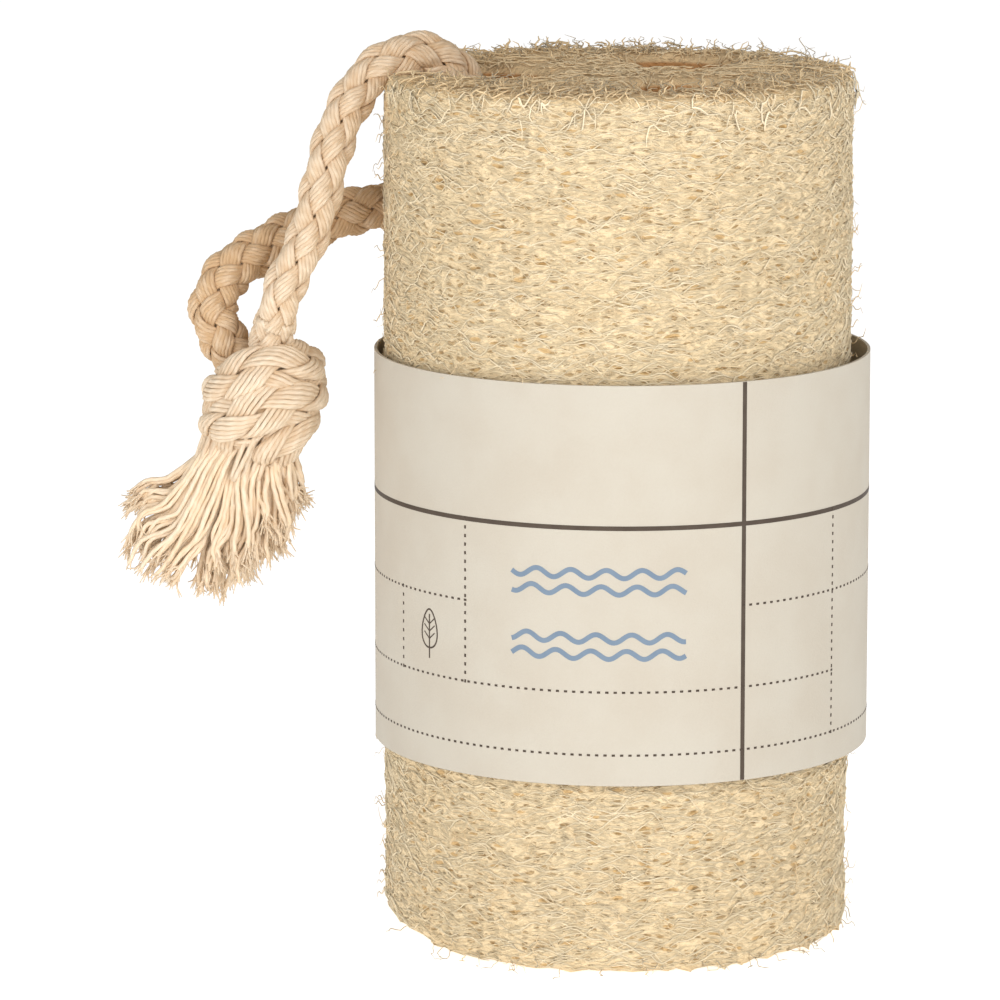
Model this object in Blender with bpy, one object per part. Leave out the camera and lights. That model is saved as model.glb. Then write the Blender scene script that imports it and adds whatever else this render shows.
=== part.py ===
"""A length of natural loofah sponge standing on its cut end, with a card band round its middle.

A braided cotton rope hangs from its rim: it goes in through a hole in the wall and out over the top,
and both ends are tied in one knot that frays into a tassel.

Metres, +Z up, +X to the right, -Y to the front. The origin is the middle of the sponge's foot.
"""

import math
import random

import bmesh
import bpy
from mathutils import Vector
from mathutils.geometry import interpolate_bezier

# Sponge
SPONGE_HEIGHT = 0.150
SPONGE_RADIUS = 0.0412
SPONGE_TAPER = 0.0016
FOOT_CORNER = 0.0035
FLAT_SPOT_RADIUS = 0.010

# Net raised on the sponge: the size of its meshes, the width of its strands and the depth of its pits
WALL_MESH_LENGTH = 0.0128
WALL_MESH_HEIGHT = 0.0079
CAP_MESH = 0.0092
STRAND_HALF_WIDTH = 0.0017
FOOT_STRAND_HALF_WIDTH = 0.0009
PIT_DEPTHS = (0.0009, 0.0016)
RIM_PIT_DEPTHS = (0.0005, 0.0006)
MESH_JITTER = 0.27

# Seed channels, which run through the sponge from end to end
CHANNEL_ANGLES = (60, 180, 300)
CHANNEL_CENTRE = 0.0212
CHANNEL_HALF_DEPTH = 0.0096
CHANNEL_HALF_WIDTH = 0.0112
CHANNEL_SIDES = 14
CHANNEL_LEVELS = 7
CHANNEL_WANDER = 0.0007
CHANNEL_OVERRUN = 0.004

# Card band, glued where its ends overlap at the back
BAND_HEIGHT = 0.0682
BAND_FOOT = 0.0337
BAND_RADIUS = 0.04295
BAND_THICKNESS = 0.0005
BAND_OFFSET_X = 0.00085
BAND_TOP = BAND_FOOT + BAND_HEIGHT
BAND_OVERLAP = (78, 102)
BAND_STEP = 6
BAND_EDGE = 0.4

# Rope, from the knot up the front of the wall, over the rim, down the channel and out through the wall
CLEARANCE = 0.0003
ROPE_DIAMETER = 0.0085
ROPE_POINT_SPACING = 0.0042
ROPE_ROUTE = (
    (-0.0592, -0.0060, 0.1060),
    (-0.0570, -0.0068, 0.1140),
    (-0.0538, -0.0070, 0.1205),
    (-0.0514, -0.0068, 0.1280),
    (-0.0494, -0.0058, 0.1360),
    (-0.0466, -0.0042, 0.1435),
    (-0.0417, -0.0022, 0.1500),
    (-0.0350, -0.0002, 0.1528),
    (-0.0288, 0.0012, 0.1502),
    (-0.0250, 0.0026, 0.1430),
    (-0.0246, 0.0045, 0.1345),
    (-0.0282, 0.0064, 0.1276),
    (-0.0345, 0.0072, 0.1255),
    (-0.0430, 0.0070, 0.1252),
    (-0.0525, 0.0060, 0.1224),
    (-0.0612, 0.0042, 0.1184),
    (-0.0674, 0.0025, 0.1142),
    (-0.0700, 0.0012, 0.1085),
    (-0.0684, 0.0008, 0.1035),
    (-0.0660, 0.0010, 0.0994),
)

# Knot: its core's middle and radii, then the radius of each strand and the places that its middle line passes
KNOT_POINT_SPACING = 0.0035
KNOT_CORE = ((-0.0615, -0.0005, 0.0925), (0.0070, 0.0068, 0.0085))
KNOT_STRANDS = (
    (0.0042, (ROPE_ROUTE[0], (-0.0602, -0.0035, 0.1010), (-0.0608, 0.0005, 0.0940))),
    (0.0042, (ROPE_ROUTE[-1], (-0.0640, 0.0016, 0.0960), (-0.0622, 0.0016, 0.0910))),
    (0.0040, ((-0.0640, 0.0050, 0.0965), (-0.0695, 0.0000, 0.0975), (-0.0650, -0.0060, 0.1003),
              (-0.0585, -0.0074, 0.0990), (-0.0545, -0.0035, 0.0960), (-0.0545, 0.0030, 0.0910),
              (-0.0590, 0.0060, 0.0880))),
    (0.0040, ((-0.0560, 0.0055, 0.0985), (-0.0538, -0.0005, 0.0985), (-0.0570, -0.0066, 0.0968),
              (-0.0635, -0.0086, 0.0938), (-0.0680, -0.0045, 0.0900), (-0.0678, 0.0025, 0.0875),
              (-0.0630, 0.0060, 0.0885))),
    (0.0036, ((-0.0615, -0.0050, 0.0925), (-0.0565, -0.0060, 0.0908), (-0.0540, -0.0030, 0.0870),
              (-0.0575, 0.0005, 0.0850), (-0.0620, 0.0020, 0.0880))),
    (0.0042, ((-0.0600, -0.0020, 0.0930), (-0.0622, -0.0050, 0.0870), (-0.0640, -0.0045, 0.0800))),
    (0.0038, ((-0.0650, 0.0000, 0.0920), (-0.0682, -0.0010, 0.0860), (-0.0690, -0.0020, 0.0800))),
)

# Tassel: where it begins, which way that face looks, and the places that its locks of yarn end
TASSEL_ROOT = (-0.0662, -0.0032, 0.0812)
TASSEL_AXIS = (-0.30, 0.0, -0.95)
TASSEL_ROOT_RADII = (0.0068, 0.0048)
TASSEL_CORE_LENGTH = 0.009
LOCK_ENDS = (
    (-0.0840, -0.0010, 0.0735),
    (-0.0845, -0.0050, 0.0665),
    (-0.0790, -0.0080, 0.0625),
    (-0.0775, 0.0040, 0.0640),
    (-0.0720, -0.0045, 0.0592),
    (-0.0665, 0.0010, 0.0600),
    (-0.0635, -0.0085, 0.0660),
    (-0.0605, -0.0020, 0.0655),
    (-0.0575, -0.0035, 0.0745),
)
YARNS_PER_LOCK = 3
YARN_RADIUS = 0.0011
YARN_SPREAD = 0.0024
YARN_BULGE = 0.0022
YARN_POINT_SPACING = 0.005
ROOT_SLAB = 0.04

WELD = 0.000001
SEED = 7


def clear_scene():
    for obj in list(bpy.data.objects):
        bpy.data.objects.remove(obj, do_unlink=True)


def plain_material(name, colour, roughness):
    material = bpy.data.materials.new(name)
    material.use_nodes = True
    shader = material.node_tree.nodes["Principled BSDF"]
    shader.inputs["Base Color"].default_value = (*colour, 1)
    shader.inputs["Roughness"].default_value = roughness
    shader.inputs["Metallic"].default_value = 0
    return material


def add_object(name, data, material=None):
    obj = bpy.data.objects.new(name, data)
    bpy.context.scene.collection.objects.link(obj)
    if material:
        data.materials.append(material)
    return obj


def mesh_from(name, bm):
    bmesh.ops.recalc_face_normals(bm, faces=bm.faces)
    mesh = bpy.data.meshes.new(name)
    bm.to_mesh(mesh)
    bm.free()
    return mesh


def as_cutter(obj):
    """Keeps a shape that only cuts out of the finished model."""
    obj.hide_render = True
    obj.display_type = "WIRE"
    return obj


def evaluated_mesh(obj):
    bpy.context.view_layer.update()
    depsgraph = bpy.context.evaluated_depsgraph_get()
    return bpy.data.meshes.new_from_object(obj.evaluated_get(depsgraph), depsgraph=depsgraph)


def cut(obj, name, *cutters):
    """Takes the cutters out of the object with one Boolean."""
    group = bpy.data.collections.new(name)
    bpy.context.scene.collection.children.link(group)
    for cutter in cutters:
        group.objects.link(as_cutter(cutter))
    boolean = obj.modifiers.new(name, "BOOLEAN")
    boolean.operation = "DIFFERENCE"
    boolean.operand_type = "COLLECTION"
    boolean.collection = group
    boolean.solver = "EXACT"


def outer_skin(mesh):
    """Leaves only the largest closed surface, so that a pocket sealed by the fusing is filled."""
    bm = bmesh.new()
    bm.from_mesh(mesh)
    left = set(bm.faces)
    skins = []
    while left:
        skin = {left.pop()}
        edge = list(skin)
        while edge:
            near = {face for e in edge.pop().edges for face in e.link_faces} & left
            left -= near
            skin |= near
            edge += near
        skins.append(skin)
    skins.sort(key=len)
    for skin in skins[:-1]:
        bmesh.ops.delete(bm, geom=list(skin), context="FACES")
    bm.to_mesh(mesh)
    bm.free()
    return mesh


def fused(name, shapes, material):
    """One closed solid from shapes that overlap, which are then removed."""
    group = bpy.data.collections.new(name + "_shapes")
    bpy.context.scene.collection.children.link(group)
    for shape in shapes[1:]:
        group.objects.link(shape)
    union = shapes[0].modifiers.new("union", "BOOLEAN")
    union.operation = "UNION"
    union.operand_type = "COLLECTION"
    union.collection = group
    union.solver = "EXACT"
    mesh = outer_skin(evaluated_mesh(shapes[0]))
    for shape in shapes:
        bpy.data.objects.remove(shape, do_unlink=True)
    bpy.data.collections.remove(group)
    mesh.materials.clear()
    return add_object(name, mesh, material)


def smooth_route(places, spacing):
    """Evenly spaced points on a smooth curve through the places."""
    places = [Vector(place) for place in places]
    ends = [places[0] * 2 - places[1], *places, places[-1] * 2 - places[-2]]
    slopes = [(after - before) / 6 for before, after in zip(ends, ends[2:])]
    fine = [places[0]]
    for i in range(len(places) - 1):
        here, there = places[i], places[i + 1]
        fine += interpolate_bezier(here, here + slopes[i], there - slopes[i + 1], there, 24)[1:]
    lengths = [(b - a).length for a, b in zip(fine, fine[1:])]
    steps = max(2, round(sum(lengths) / spacing))
    points = [fine[0]]
    wanted = sum(lengths) / steps
    travelled = 0
    for start, end, length in zip(fine, fine[1:], lengths):
        while len(points) < steps and travelled + length >= wanted * len(points):
            points.append(start.lerp(end, (wanted * len(points) - travelled) / length))
        travelled += length
    return points + [fine[-1]]


def tube(name, points, radius, resolution=2, taper=1.0):
    """A round tube along the points, with closed ends."""
    curve = bpy.data.curves.new(name, "CURVE")
    curve.dimensions = "3D"
    curve.bevel_depth = radius
    curve.bevel_resolution = resolution
    curve.use_fill_caps = True
    spline = curve.splines.new("POLY")
    spline.points.add(len(points) - 1)
    for i, (place, point) in enumerate(zip(points, spline.points)):
        point.co = (*place, 1)
        point.radius = 1 + (taper - 1) * i / (len(points) - 1)
    spline.use_smooth = True
    return curve


def tube_solid(name, points, radius, resolution=2, taper=1.0):
    """The same tube as a mesh, for a Boolean."""
    guide = add_object(name, tube(name, points, radius, resolution, taper))
    bm = bmesh.new()
    bm.from_mesh(evaluated_mesh(guide))
    bmesh.ops.remove_doubles(bm, verts=bm.verts, dist=WELD)
    bpy.data.objects.remove(guide, do_unlink=True)
    return add_object(name, mesh_from(name, bm))


def wall_radius(angle, height):
    """The sponge's outer radius: nearly round, a little narrower at the foot on the right."""
    lobes = 0.0003 * math.cos(3 * angle + 0.8) + 0.0002 * math.cos(5 * angle + 30 * height)
    low = max(0, 1 - height / (0.45 * SPONGE_HEIGHT))
    right = max(0, math.cos(angle))
    return SPONGE_RADIUS - 0.0004 + lobes - SPONGE_TAPER * low * right


def foot_height(angle):
    """The worn corner of the foot, on the left, lifts the rim there."""
    return FOOT_CORNER * max(0, -math.cos(angle)) ** 4


def on_sponge(kind, angle, along):
    """A point of the surface: along is the height on the wall, and the share of the radius on an end."""
    if kind == "wall":
        radius, height = wall_radius(angle, along), along
    elif kind == "top":
        radius, height = along * wall_radius(angle, SPONGE_HEIGHT), SPONGE_HEIGHT
    else:
        radius, height = along * wall_radius(angle, 0), 0
    return Vector((radius * math.cos(angle), radius * math.sin(angle), height))


def on_ball(kind, angle, along):
    """The same point on a ball, where the neighbours of each mesh can be found by a hull."""
    stretch = WALL_MESH_LENGTH / WALL_MESH_HEIGHT
    rim = 2 * math.atan(math.exp(-stretch * SPONGE_HEIGHT / 2 / SPONGE_RADIUS))
    if kind == "wall":
        from_top = 2 * math.atan(math.exp(-stretch * (along - SPONGE_HEIGHT / 2) / SPONGE_RADIUS))
    else:
        from_pole = 2 * math.atan(math.tan(rim / 2) * along)
        from_top = from_pole if kind == "top" else math.pi - from_pole
    return Vector((math.sin(from_top) * math.cos(angle), math.sin(from_top) * math.sin(angle), math.cos(from_top)))


def mesh_middles(rng):
    """The middle of each mesh of the net: staggered rows on the wall and rings on the two ends."""
    rows = round(SPONGE_HEIGHT / WALL_MESH_HEIGHT)
    columns = round(math.tau * SPONGE_RADIUS / WALL_MESH_LENGTH)
    for row in range(rows):
        for column in range(columns):
            turn = (column + row % 2 / 2 + rng.uniform(-MESH_JITTER, MESH_JITTER)) / columns
            rise = (row + 0.5 + rng.uniform(-MESH_JITTER, MESH_JITTER)) / rows
            yield "wall", math.tau * turn, rise * SPONGE_HEIGHT
    rings = round(SPONGE_RADIUS / CAP_MESH)
    for kind in ("top", "foot"):
        for ring in range(rings):
            share = (ring + 0.5) / rings
            count = max(3, round(math.tau * share * SPONGE_RADIUS / CAP_MESH))
            for i in range(count):
                turn = (i + ring % 2 / 2 + rng.uniform(-MESH_JITTER, MESH_JITTER)) / count
                yield kind, math.tau * turn, share + rng.uniform(-MESH_JITTER, MESH_JITTER) / rings / 2


def is_rim(middles):
    """Whether meshes of the wall and of an end meet there."""
    return len({kind for kind, _, _ in middles}) > 1


def net_corner(middles):
    """The net's knot between three meshes, on the rim where the wall meets an end."""
    middle = sum((on_sponge(*place) for place in middles), Vector()) / 3
    angle = math.atan2(middle.y, middle.x)
    if not is_rim(middles):
        return on_sponge("wall", angle, middle.z) if middles[0][0] == "wall" else middle
    if middle.z > SPONGE_HEIGHT / 2:
        return on_sponge("wall", angle, SPONGE_HEIGHT)
    rim = on_sponge("wall", angle, 0)
    rim.z = foot_height(angle)
    return rim


def corners_round(vert):
    """The faces round a vertex, in order."""
    first = loop = vert.link_loops[0]
    while True:
        yield loop.face.index
        loop = loop.link_loop_prev.link_loop_radial_next
        if loop is first:
            return


def sunk(bm, faces, strand, depths, rng):
    """Sinks the middle of each face and leaves a strand standing along its edges."""
    inner = bmesh.ops.extrude_discrete_faces(bm, faces=faces)["faces"]
    for face in inner:
        middle = face.calc_center_median()
        normal = face.normal.copy()
        if normal.dot(middle - Vector((0, 0, SPONGE_HEIGHT / 2))) < 0:
            normal.negate()
        depth = rng.uniform(*depths)
        for vert in face.verts:
            out = vert.co - middle
            reach = max(out.length - strand, 0.35 * out.length)
            vert.co = middle + out.normalized() * reach - normal * depth
    return inner


def net_block(rng):
    """The uncut sponge: a closed block, with a net of uneven meshes standing up from its surface."""
    middles = list(mesh_middles(rng))
    ball = bmesh.new()
    for place in middles:
        ball.verts.new(on_ball(*place))
    bmesh.ops.convex_hull(ball, input=ball.verts)
    ball.verts.index_update()
    ball.faces.index_update()
    between = [[middles[vert.index] for vert in face.verts] for face in ball.faces]
    bm = bmesh.new()
    corners = [bm.verts.new(net_corner(meshes)) for meshes in between]
    faces = {"wall": [], "top": [], "foot": [], "rim": [], "foot rim": []}
    for vert in ball.verts:
        kind = middles[vert.index][0]
        loop = list(corners_round(vert))
        if any(is_rim(between[i]) for i in loop):
            kind = "foot rim" if kind == "foot" else "rim"
        faces[kind].append(bm.faces.new([corners[i] for i in loop]))
    ball.free()
    bmesh.ops.recalc_face_normals(bm, faces=bm.faces)
    pitted = [face for face in faces["foot"] if face.calc_center_median().length > FLAT_SPOT_RADIUS]
    lands = sunk(bm, pitted, FOOT_STRAND_HALF_WIDTH, (0, 0), rng)
    rim_lands = sunk(bm, faces["foot rim"], FOOT_STRAND_HALF_WIDTH, (0, 0), rng)
    sunk(bm, faces["wall"] + faces["top"], STRAND_HALF_WIDTH, PIT_DEPTHS, rng)
    sunk(bm, faces["rim"], STRAND_HALF_WIDTH, RIM_PIT_DEPTHS, rng)
    sunk(bm, lands, FOOT_STRAND_HALF_WIDTH, PIT_DEPTHS, rng)
    sunk(bm, rim_lands, FOOT_STRAND_HALF_WIDTH, RIM_PIT_DEPTHS, rng)
    bmesh.ops.triangulate(bm, faces=bm.faces)
    return mesh_from("loofah_sponge", bm)


def channel_cutter(angle):
    """A seed channel: three-cornered with round corners, and wandering a little on its way up."""
    bm = bmesh.new()
    rings = []
    for level in range(CHANNEL_LEVELS):
        rise = level / (CHANNEL_LEVELS - 1)
        height = rise * (SPONGE_HEIGHT + 2 * CHANNEL_OVERRUN) - CHANNEL_OVERRUN
        out = CHANNEL_CENTRE + CHANNEL_WANDER * math.sin(9 * rise + angle)
        aside = CHANNEL_WANDER * math.cos(7 * rise + 2 * angle)
        ring = []
        for side in range(CHANNEL_SIDES):
            turn = math.tau * side / CHANNEL_SIDES
            bulge = 1 + 0.09 * math.cos(3 * (turn - math.pi))
            x = out + CHANNEL_HALF_DEPTH * bulge * math.cos(turn)
            y = aside + CHANNEL_HALF_WIDTH * bulge * math.sin(turn)
            c, s = math.cos(angle), math.sin(angle)
            ring.append(bm.verts.new((x * c - y * s, x * s + y * c, height)))
        rings.append(ring)
    for lower, upper in zip(rings, rings[1:]):
        for i in range(CHANNEL_SIDES):
            j = (i + 1) % CHANNEL_SIDES
            bm.faces.new((lower[i], lower[j], upper[j], upper[i]))
    bm.faces.new(rings[0])
    bm.faces.new(rings[-1])
    return add_object("channel_cutter", mesh_from("channel_cutter", bm))


def make_sponge(rope_space, rng):
    material = plain_material("loofah_fibre", (0.83, 0.67, 0.42), 0.85)
    sponge = add_object("loofah_sponge", net_block(rng), material)
    channels = [channel_cutter(math.radians(angle)) for angle in CHANNEL_ANGLES]
    cut(sponge, "sponge_cutters", *channels, rope_space)
    return sponge


def make_band():
    """The card band: a ring with a second layer where its glued ends overlap."""
    first, last = BAND_OVERLAP
    angles = sorted({*range(0, 360, BAND_STEP), first - BAND_EDGE, last + BAND_EDGE})
    bm = bmesh.new()
    sections = []
    for degrees in angles:
        turn = math.radians(degrees)
        layers = 1 if first <= degrees <= last else 0
        inner, outer = BAND_RADIUS - BAND_THICKNESS, BAND_RADIUS + layers * BAND_THICKNESS
        corners = ((inner, BAND_FOOT), (outer, BAND_FOOT), (outer, BAND_TOP), (inner, BAND_TOP))
        across = Vector((math.cos(turn), math.sin(turn), 0))
        middle = Vector((BAND_OFFSET_X, 0, 0))
        sections.append([bm.verts.new(middle + across * radius + Vector((0, 0, z))) for radius, z in corners])
    for here, there in zip(sections, sections[1:] + sections[:1]):
        for i in range(4):
            j = (i + 1) % 4
            bm.faces.new((here[i], there[i], there[j], here[j]))
    mesh = mesh_from("paper_band", bm)
    mesh.shade_smooth()
    mesh.set_sharp_from_angle(angle=math.radians(30))
    return add_object("paper_band", mesh, plain_material("band_card", (0.83, 0.76, 0.66), 0.7))


def make_rope(material):
    rope = add_object("rope_loop", tube("rope_loop", smooth_route(ROPE_ROUTE, ROPE_POINT_SPACING), ROPE_DIAMETER / 2))
    rope.data.materials.append(material)
    return rope


def rope_room():
    """The room that the rope takes up: a little wider than the rope and longer at both ends."""
    points = smooth_route(ROPE_ROUTE, ROPE_POINT_SPACING)
    before = points[0] + (points[0] - points[1]).normalized() * CLEARANCE
    after = points[-1] + (points[-1] - points[-2]).normalized() * CLEARANCE
    return tube_solid("rope_room", [before, *points, after], ROPE_DIAMETER / 2 + CLEARANCE)


def ball(name, middle, radii):
    bm = bmesh.new()
    bmesh.ops.create_icosphere(bm, subdivisions=2, radius=1)
    for vert in bm.verts:
        vert.co = Vector(middle) + Vector([r * c for r, c in zip(radii, vert.co)])
    return add_object(name, mesh_from(name, bm))


def root_frame():
    """The tassel's root plane: its middle, the way the tassel hangs, and two directions across."""
    down = Vector(TASSEL_AXIS).normalized()
    side = Vector((0, 1, 0)).cross(down).normalized()
    return Vector(TASSEL_ROOT), down, side, down.cross(side)


def root_slab(name, start, size):
    """A slab that starts this far below the root plane and reaches down, or up where size is negative."""
    root, down, side, front = root_frame()
    near = root + down * start
    bm = bmesh.new()
    corners = []
    for depth in (0, size):
        for a, b in ((-1, -1), (1, -1), (1, 1), (-1, 1)):
            corners.append(bm.verts.new(near + down * depth + (side * a + front * b) * ROOT_SLAB))
    bm.faces.new(corners[:4])
    bm.faces.new(corners[4:])
    for i in range(4):
        j = (i + 1) % 4
        bm.faces.new((corners[i], corners[j], corners[j + 4], corners[i + 4]))
    return add_object(name, mesh_from(name, bm))


def make_knot(rope_space, material):
    """The knot: turns of the rope drawn tight round one another, ending at the tassel's root."""
    shapes = [ball("knot_core", *KNOT_CORE)]
    for i, (radius, places) in enumerate(KNOT_STRANDS):
        shapes.append(tube_solid(f"knot_strand_{i}", smooth_route(places, KNOT_POINT_SPACING), radius))
    knot = fused("rope_knot", shapes, material)
    cut(knot, "knot_cutters", rope_space, root_slab("below_root", 0, ROOT_SLAB))
    return knot


def make_tassel(rng, material):
    """The tassel: locks of thick yarn that spread from a short core under the knot."""
    root, down, side, front = root_frame()
    wide, deep = TASSEL_ROOT_RADII
    core_end = root + down * TASSEL_CORE_LENGTH
    shapes = [tube_solid("tassel_core", (root - down * YARN_RADIUS, root.lerp(core_end, 0.5), core_end), deep, 2, 0.6)]
    for lock, end in enumerate(LOCK_ENDS):
        for yarn in range(YARNS_PER_LOCK):
            turn = rng.uniform(0, math.tau)
            share = rng.uniform(0.2, 0.85)
            start = root - down * YARN_RADIUS
            start += side * wide * share * math.cos(turn) + front * deep * share * math.sin(turn)
            spread = Vector([rng.uniform(-YARN_SPREAD, YARN_SPREAD) for _ in range(3)])
            tip = Vector(end) + spread
            bulge = start.lerp(tip, 0.45) + down * YARN_BULGE + spread * 0.3
            places = (start, start.lerp(bulge, 0.35) + down * YARN_BULGE / 2, bulge, tip)
            name = f"yarn_{lock}_{yarn}"
            shapes.append(tube_solid(name, smooth_route(places, YARN_POINT_SPACING), YARN_RADIUS, 0, 0.75))
    tassel = fused("rope_tassel", shapes, material)
    cut(tassel, "tassel_cutters", root_slab("above_root", CLEARANCE, -ROOT_SLAB))
    return tassel


def main():
    clear_scene()
    rng = random.Random(SEED)
    cotton = plain_material("cotton_rope", (0.79, 0.63, 0.45), 0.9)
    rope_space = rope_room()
    make_rope(cotton)
    make_knot(rope_space, cotton)
    make_tassel(rng, cotton)
    make_band()
    make_sponge(rope_space, rng)


main()
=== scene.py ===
"""The looks of a natural loofah sponge with a card band round it and a braided cotton rope.

Metres, +Z up, +X to the right, -Y to the front. The origin is the middle of the sponge's foot.
"""
import logging
import math
import random
from dataclasses import dataclass
from enum import Enum
from typing import Iterator, Sequence, Union

import bmesh
import bpy
import numpy as np
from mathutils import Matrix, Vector
from mathutils.geometry import interpolate_bezier


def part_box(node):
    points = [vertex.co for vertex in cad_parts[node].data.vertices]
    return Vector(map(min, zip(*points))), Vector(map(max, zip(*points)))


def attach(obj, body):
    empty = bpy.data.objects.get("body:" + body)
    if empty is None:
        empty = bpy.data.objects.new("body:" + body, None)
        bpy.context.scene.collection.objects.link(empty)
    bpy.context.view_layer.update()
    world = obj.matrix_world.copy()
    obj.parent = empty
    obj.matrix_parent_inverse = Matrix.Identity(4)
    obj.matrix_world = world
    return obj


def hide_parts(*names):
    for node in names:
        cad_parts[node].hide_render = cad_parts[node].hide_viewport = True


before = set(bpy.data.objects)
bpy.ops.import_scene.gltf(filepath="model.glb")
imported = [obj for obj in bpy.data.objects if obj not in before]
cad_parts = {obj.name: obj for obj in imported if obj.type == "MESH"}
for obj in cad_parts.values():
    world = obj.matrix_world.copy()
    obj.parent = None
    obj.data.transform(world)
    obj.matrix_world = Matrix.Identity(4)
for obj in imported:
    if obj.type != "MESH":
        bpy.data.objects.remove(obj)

LOG = logging.getLogger("loofah")
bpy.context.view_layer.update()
BODY = "root"
TAU = math.tau
GOLDEN_TURN = 2.399963
YARN_SIDES = 5
# The last mark, low, is painted shade: the cotton is painted darker the deeper a yarn lies in the weave.
YARN_MARKS = ("along", "ring", "tone", "low")

# Rope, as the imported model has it: from the knot over the rim, down the channel and out through the wall
ROPE_POINT_SPACING = 0.0042
ROPE_ROUTE = (
    (-0.0592, -0.0060, 0.1060),
    (-0.0570, -0.0068, 0.1140),
    (-0.0538, -0.0070, 0.1205),
    (-0.0514, -0.0068, 0.1280),
    (-0.0494, -0.0058, 0.1360),
    (-0.0466, -0.0042, 0.1435),
    (-0.0417, -0.0022, 0.1500),
    (-0.0350, -0.0002, 0.1528),
    (-0.0288, 0.0012, 0.1502),
    (-0.0250, 0.0026, 0.1430),
    (-0.0246, 0.0045, 0.1345),
    (-0.0282, 0.0064, 0.1276),
    (-0.0345, 0.0072, 0.1255),
    (-0.0430, 0.0070, 0.1252),
    (-0.0525, 0.0060, 0.1224),
    (-0.0612, 0.0042, 0.1184),
    (-0.0674, 0.0025, 0.1142),
    (-0.0700, 0.0012, 0.1085),
    (-0.0684, 0.0008, 0.1035),
    (-0.0660, 0.0010, 0.0994),
)


class Turn(Enum):
    """What a strand of the knot is: a leg that enters, a turn round the knot, or a loosened end."""

    LEG = "leg"
    WRAP = "wrap"
    END = "end"


# Knot: each strand's kind and radius and the places that its middle line passes, near those of the packed
# model, with the two turns at the front close beside each other, and the turns' ends laid over at the back
KNOT_STRANDS = (
    (Turn.LEG, 0.00425, ((-0.0588, -0.0062, 0.1078), (-0.0596, -0.0055, 0.1045), (-0.0602, -0.0040, 0.1010),
                         (-0.0606, 0.0000, 0.0960))),
    (Turn.LEG, 0.00425, ((-0.0668, 0.0008, 0.1006), (-0.0655, 0.0010, 0.0985), (-0.0645, 0.0012, 0.0960),
                         (-0.0625, 0.0010, 0.0920))),
    (Turn.WRAP, 0.0043, ((-0.0648, 0.0040, 0.0932), (-0.0608, 0.0058, 0.0962), (-0.0570, 0.0048, 0.0982),
                         (-0.0540, 0.0010, 0.0984), (-0.0556, -0.0055, 0.0996), (-0.0600, -0.0084, 0.1000),
                         (-0.0650, -0.0078, 0.0972), (-0.0684, -0.0040, 0.0940), (-0.0686, 0.0015, 0.0920),
                         (-0.0655, 0.0048, 0.0925), (-0.0625, 0.0044, 0.0942))),
    (Turn.WRAP, 0.0043, ((-0.0645, 0.0042, 0.0892), (-0.0600, 0.0054, 0.0924), (-0.0556, 0.0035, 0.0948),
                         (-0.0534, -0.0020, 0.0952), (-0.0560, -0.0078, 0.0946), (-0.0612, -0.0098, 0.0926),
                         (-0.0662, -0.0080, 0.0896), (-0.0684, -0.0036, 0.0876), (-0.0678, 0.0020, 0.0870),
                         (-0.0650, 0.0045, 0.0880), (-0.0622, 0.0042, 0.0904))),
    (Turn.WRAP, 0.0042, ((-0.0640, 0.0022, 0.0872), (-0.0606, 0.0046, 0.0886), (-0.0568, 0.0034, 0.0910),
                         (-0.0542, -0.0010, 0.0915), (-0.0556, -0.0062, 0.0890), (-0.0582, -0.0070, 0.0862),
                         (-0.0606, -0.0052, 0.0840))),
    (Turn.END, 0.0046, ((-0.0612, -0.0030, 0.0925), (-0.0625, -0.0060, 0.0880), (-0.0640, -0.0056, 0.0842),
                        (-0.0655, -0.0045, 0.0805))),
    (Turn.END, 0.0042, ((-0.0650, -0.0010, 0.0915), (-0.0676, -0.0032, 0.0865), (-0.0695, -0.0030, 0.0812))),
)

# Tassel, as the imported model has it: where it begins, and the places that its locks of yarn end
TASSEL_ROOT = (-0.0662, -0.0032, 0.0812)
TASSEL_AXIS = (-0.30, 0.0, -0.95)
TASSEL_ROOT_RADII = (0.0068, 0.0048)
LOCK_ENDS = (
    (-0.0840, -0.0010, 0.0735),
    (-0.0845, -0.0050, 0.0665),
    (-0.0790, -0.0080, 0.0625),
    (-0.0775, 0.0040, 0.0640),
    (-0.0720, -0.0045, 0.0592),
    (-0.0665, 0.0010, 0.0600),
    (-0.0635, -0.0085, 0.0660),
    (-0.0600, -0.0020, 0.0660),
    (-0.0572, -0.0035, 0.0735),
    (-0.0680, -0.0090, 0.0640),
)


class Zone(Enum):
    """The part of the sponge that a face belongs to."""

    WALL = 0
    TOP = 1
    FOOT = 2
    CHANNEL = 3


class Value:
    """A number or vector in a node tree. Arithmetic on it adds the nodes that work it out."""

    def __init__(self, tree: "Tree", socket: bpy.types.NodeSocket) -> None:
        """Wraps an output socket of the tree."""
        self.tree = tree
        self.socket = socket

    def __add__(self, other: "Fed") -> "Value":
        """The sum."""
        return self.tree.work("ADD", self, other)

    def __sub__(self, other: "Fed") -> "Value":
        """The difference."""
        return self.tree.work("SUBTRACT", self, other)

    def __rsub__(self, other: "Fed") -> "Value":
        """The difference the other way round."""
        return self.tree.work("SUBTRACT", other, self)

    def __mul__(self, other: "Fed") -> "Value":
        """The product, which scales where one of the two is a vector."""
        return self.tree.work("MULTIPLY", self, other)

    def __truediv__(self, other: "Fed") -> "Value":
        """The quotient of two numbers."""
        return self.tree.work("DIVIDE", self, other)

    def __rtruediv__(self, other: "Fed") -> "Value":
        """The quotient the other way round."""
        return self.tree.work("DIVIDE", other, self)

    __radd__ = __add__
    __rmul__ = __mul__


Fed = Union[Value, float, Sequence[float], str, bpy.types.ID]


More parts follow.
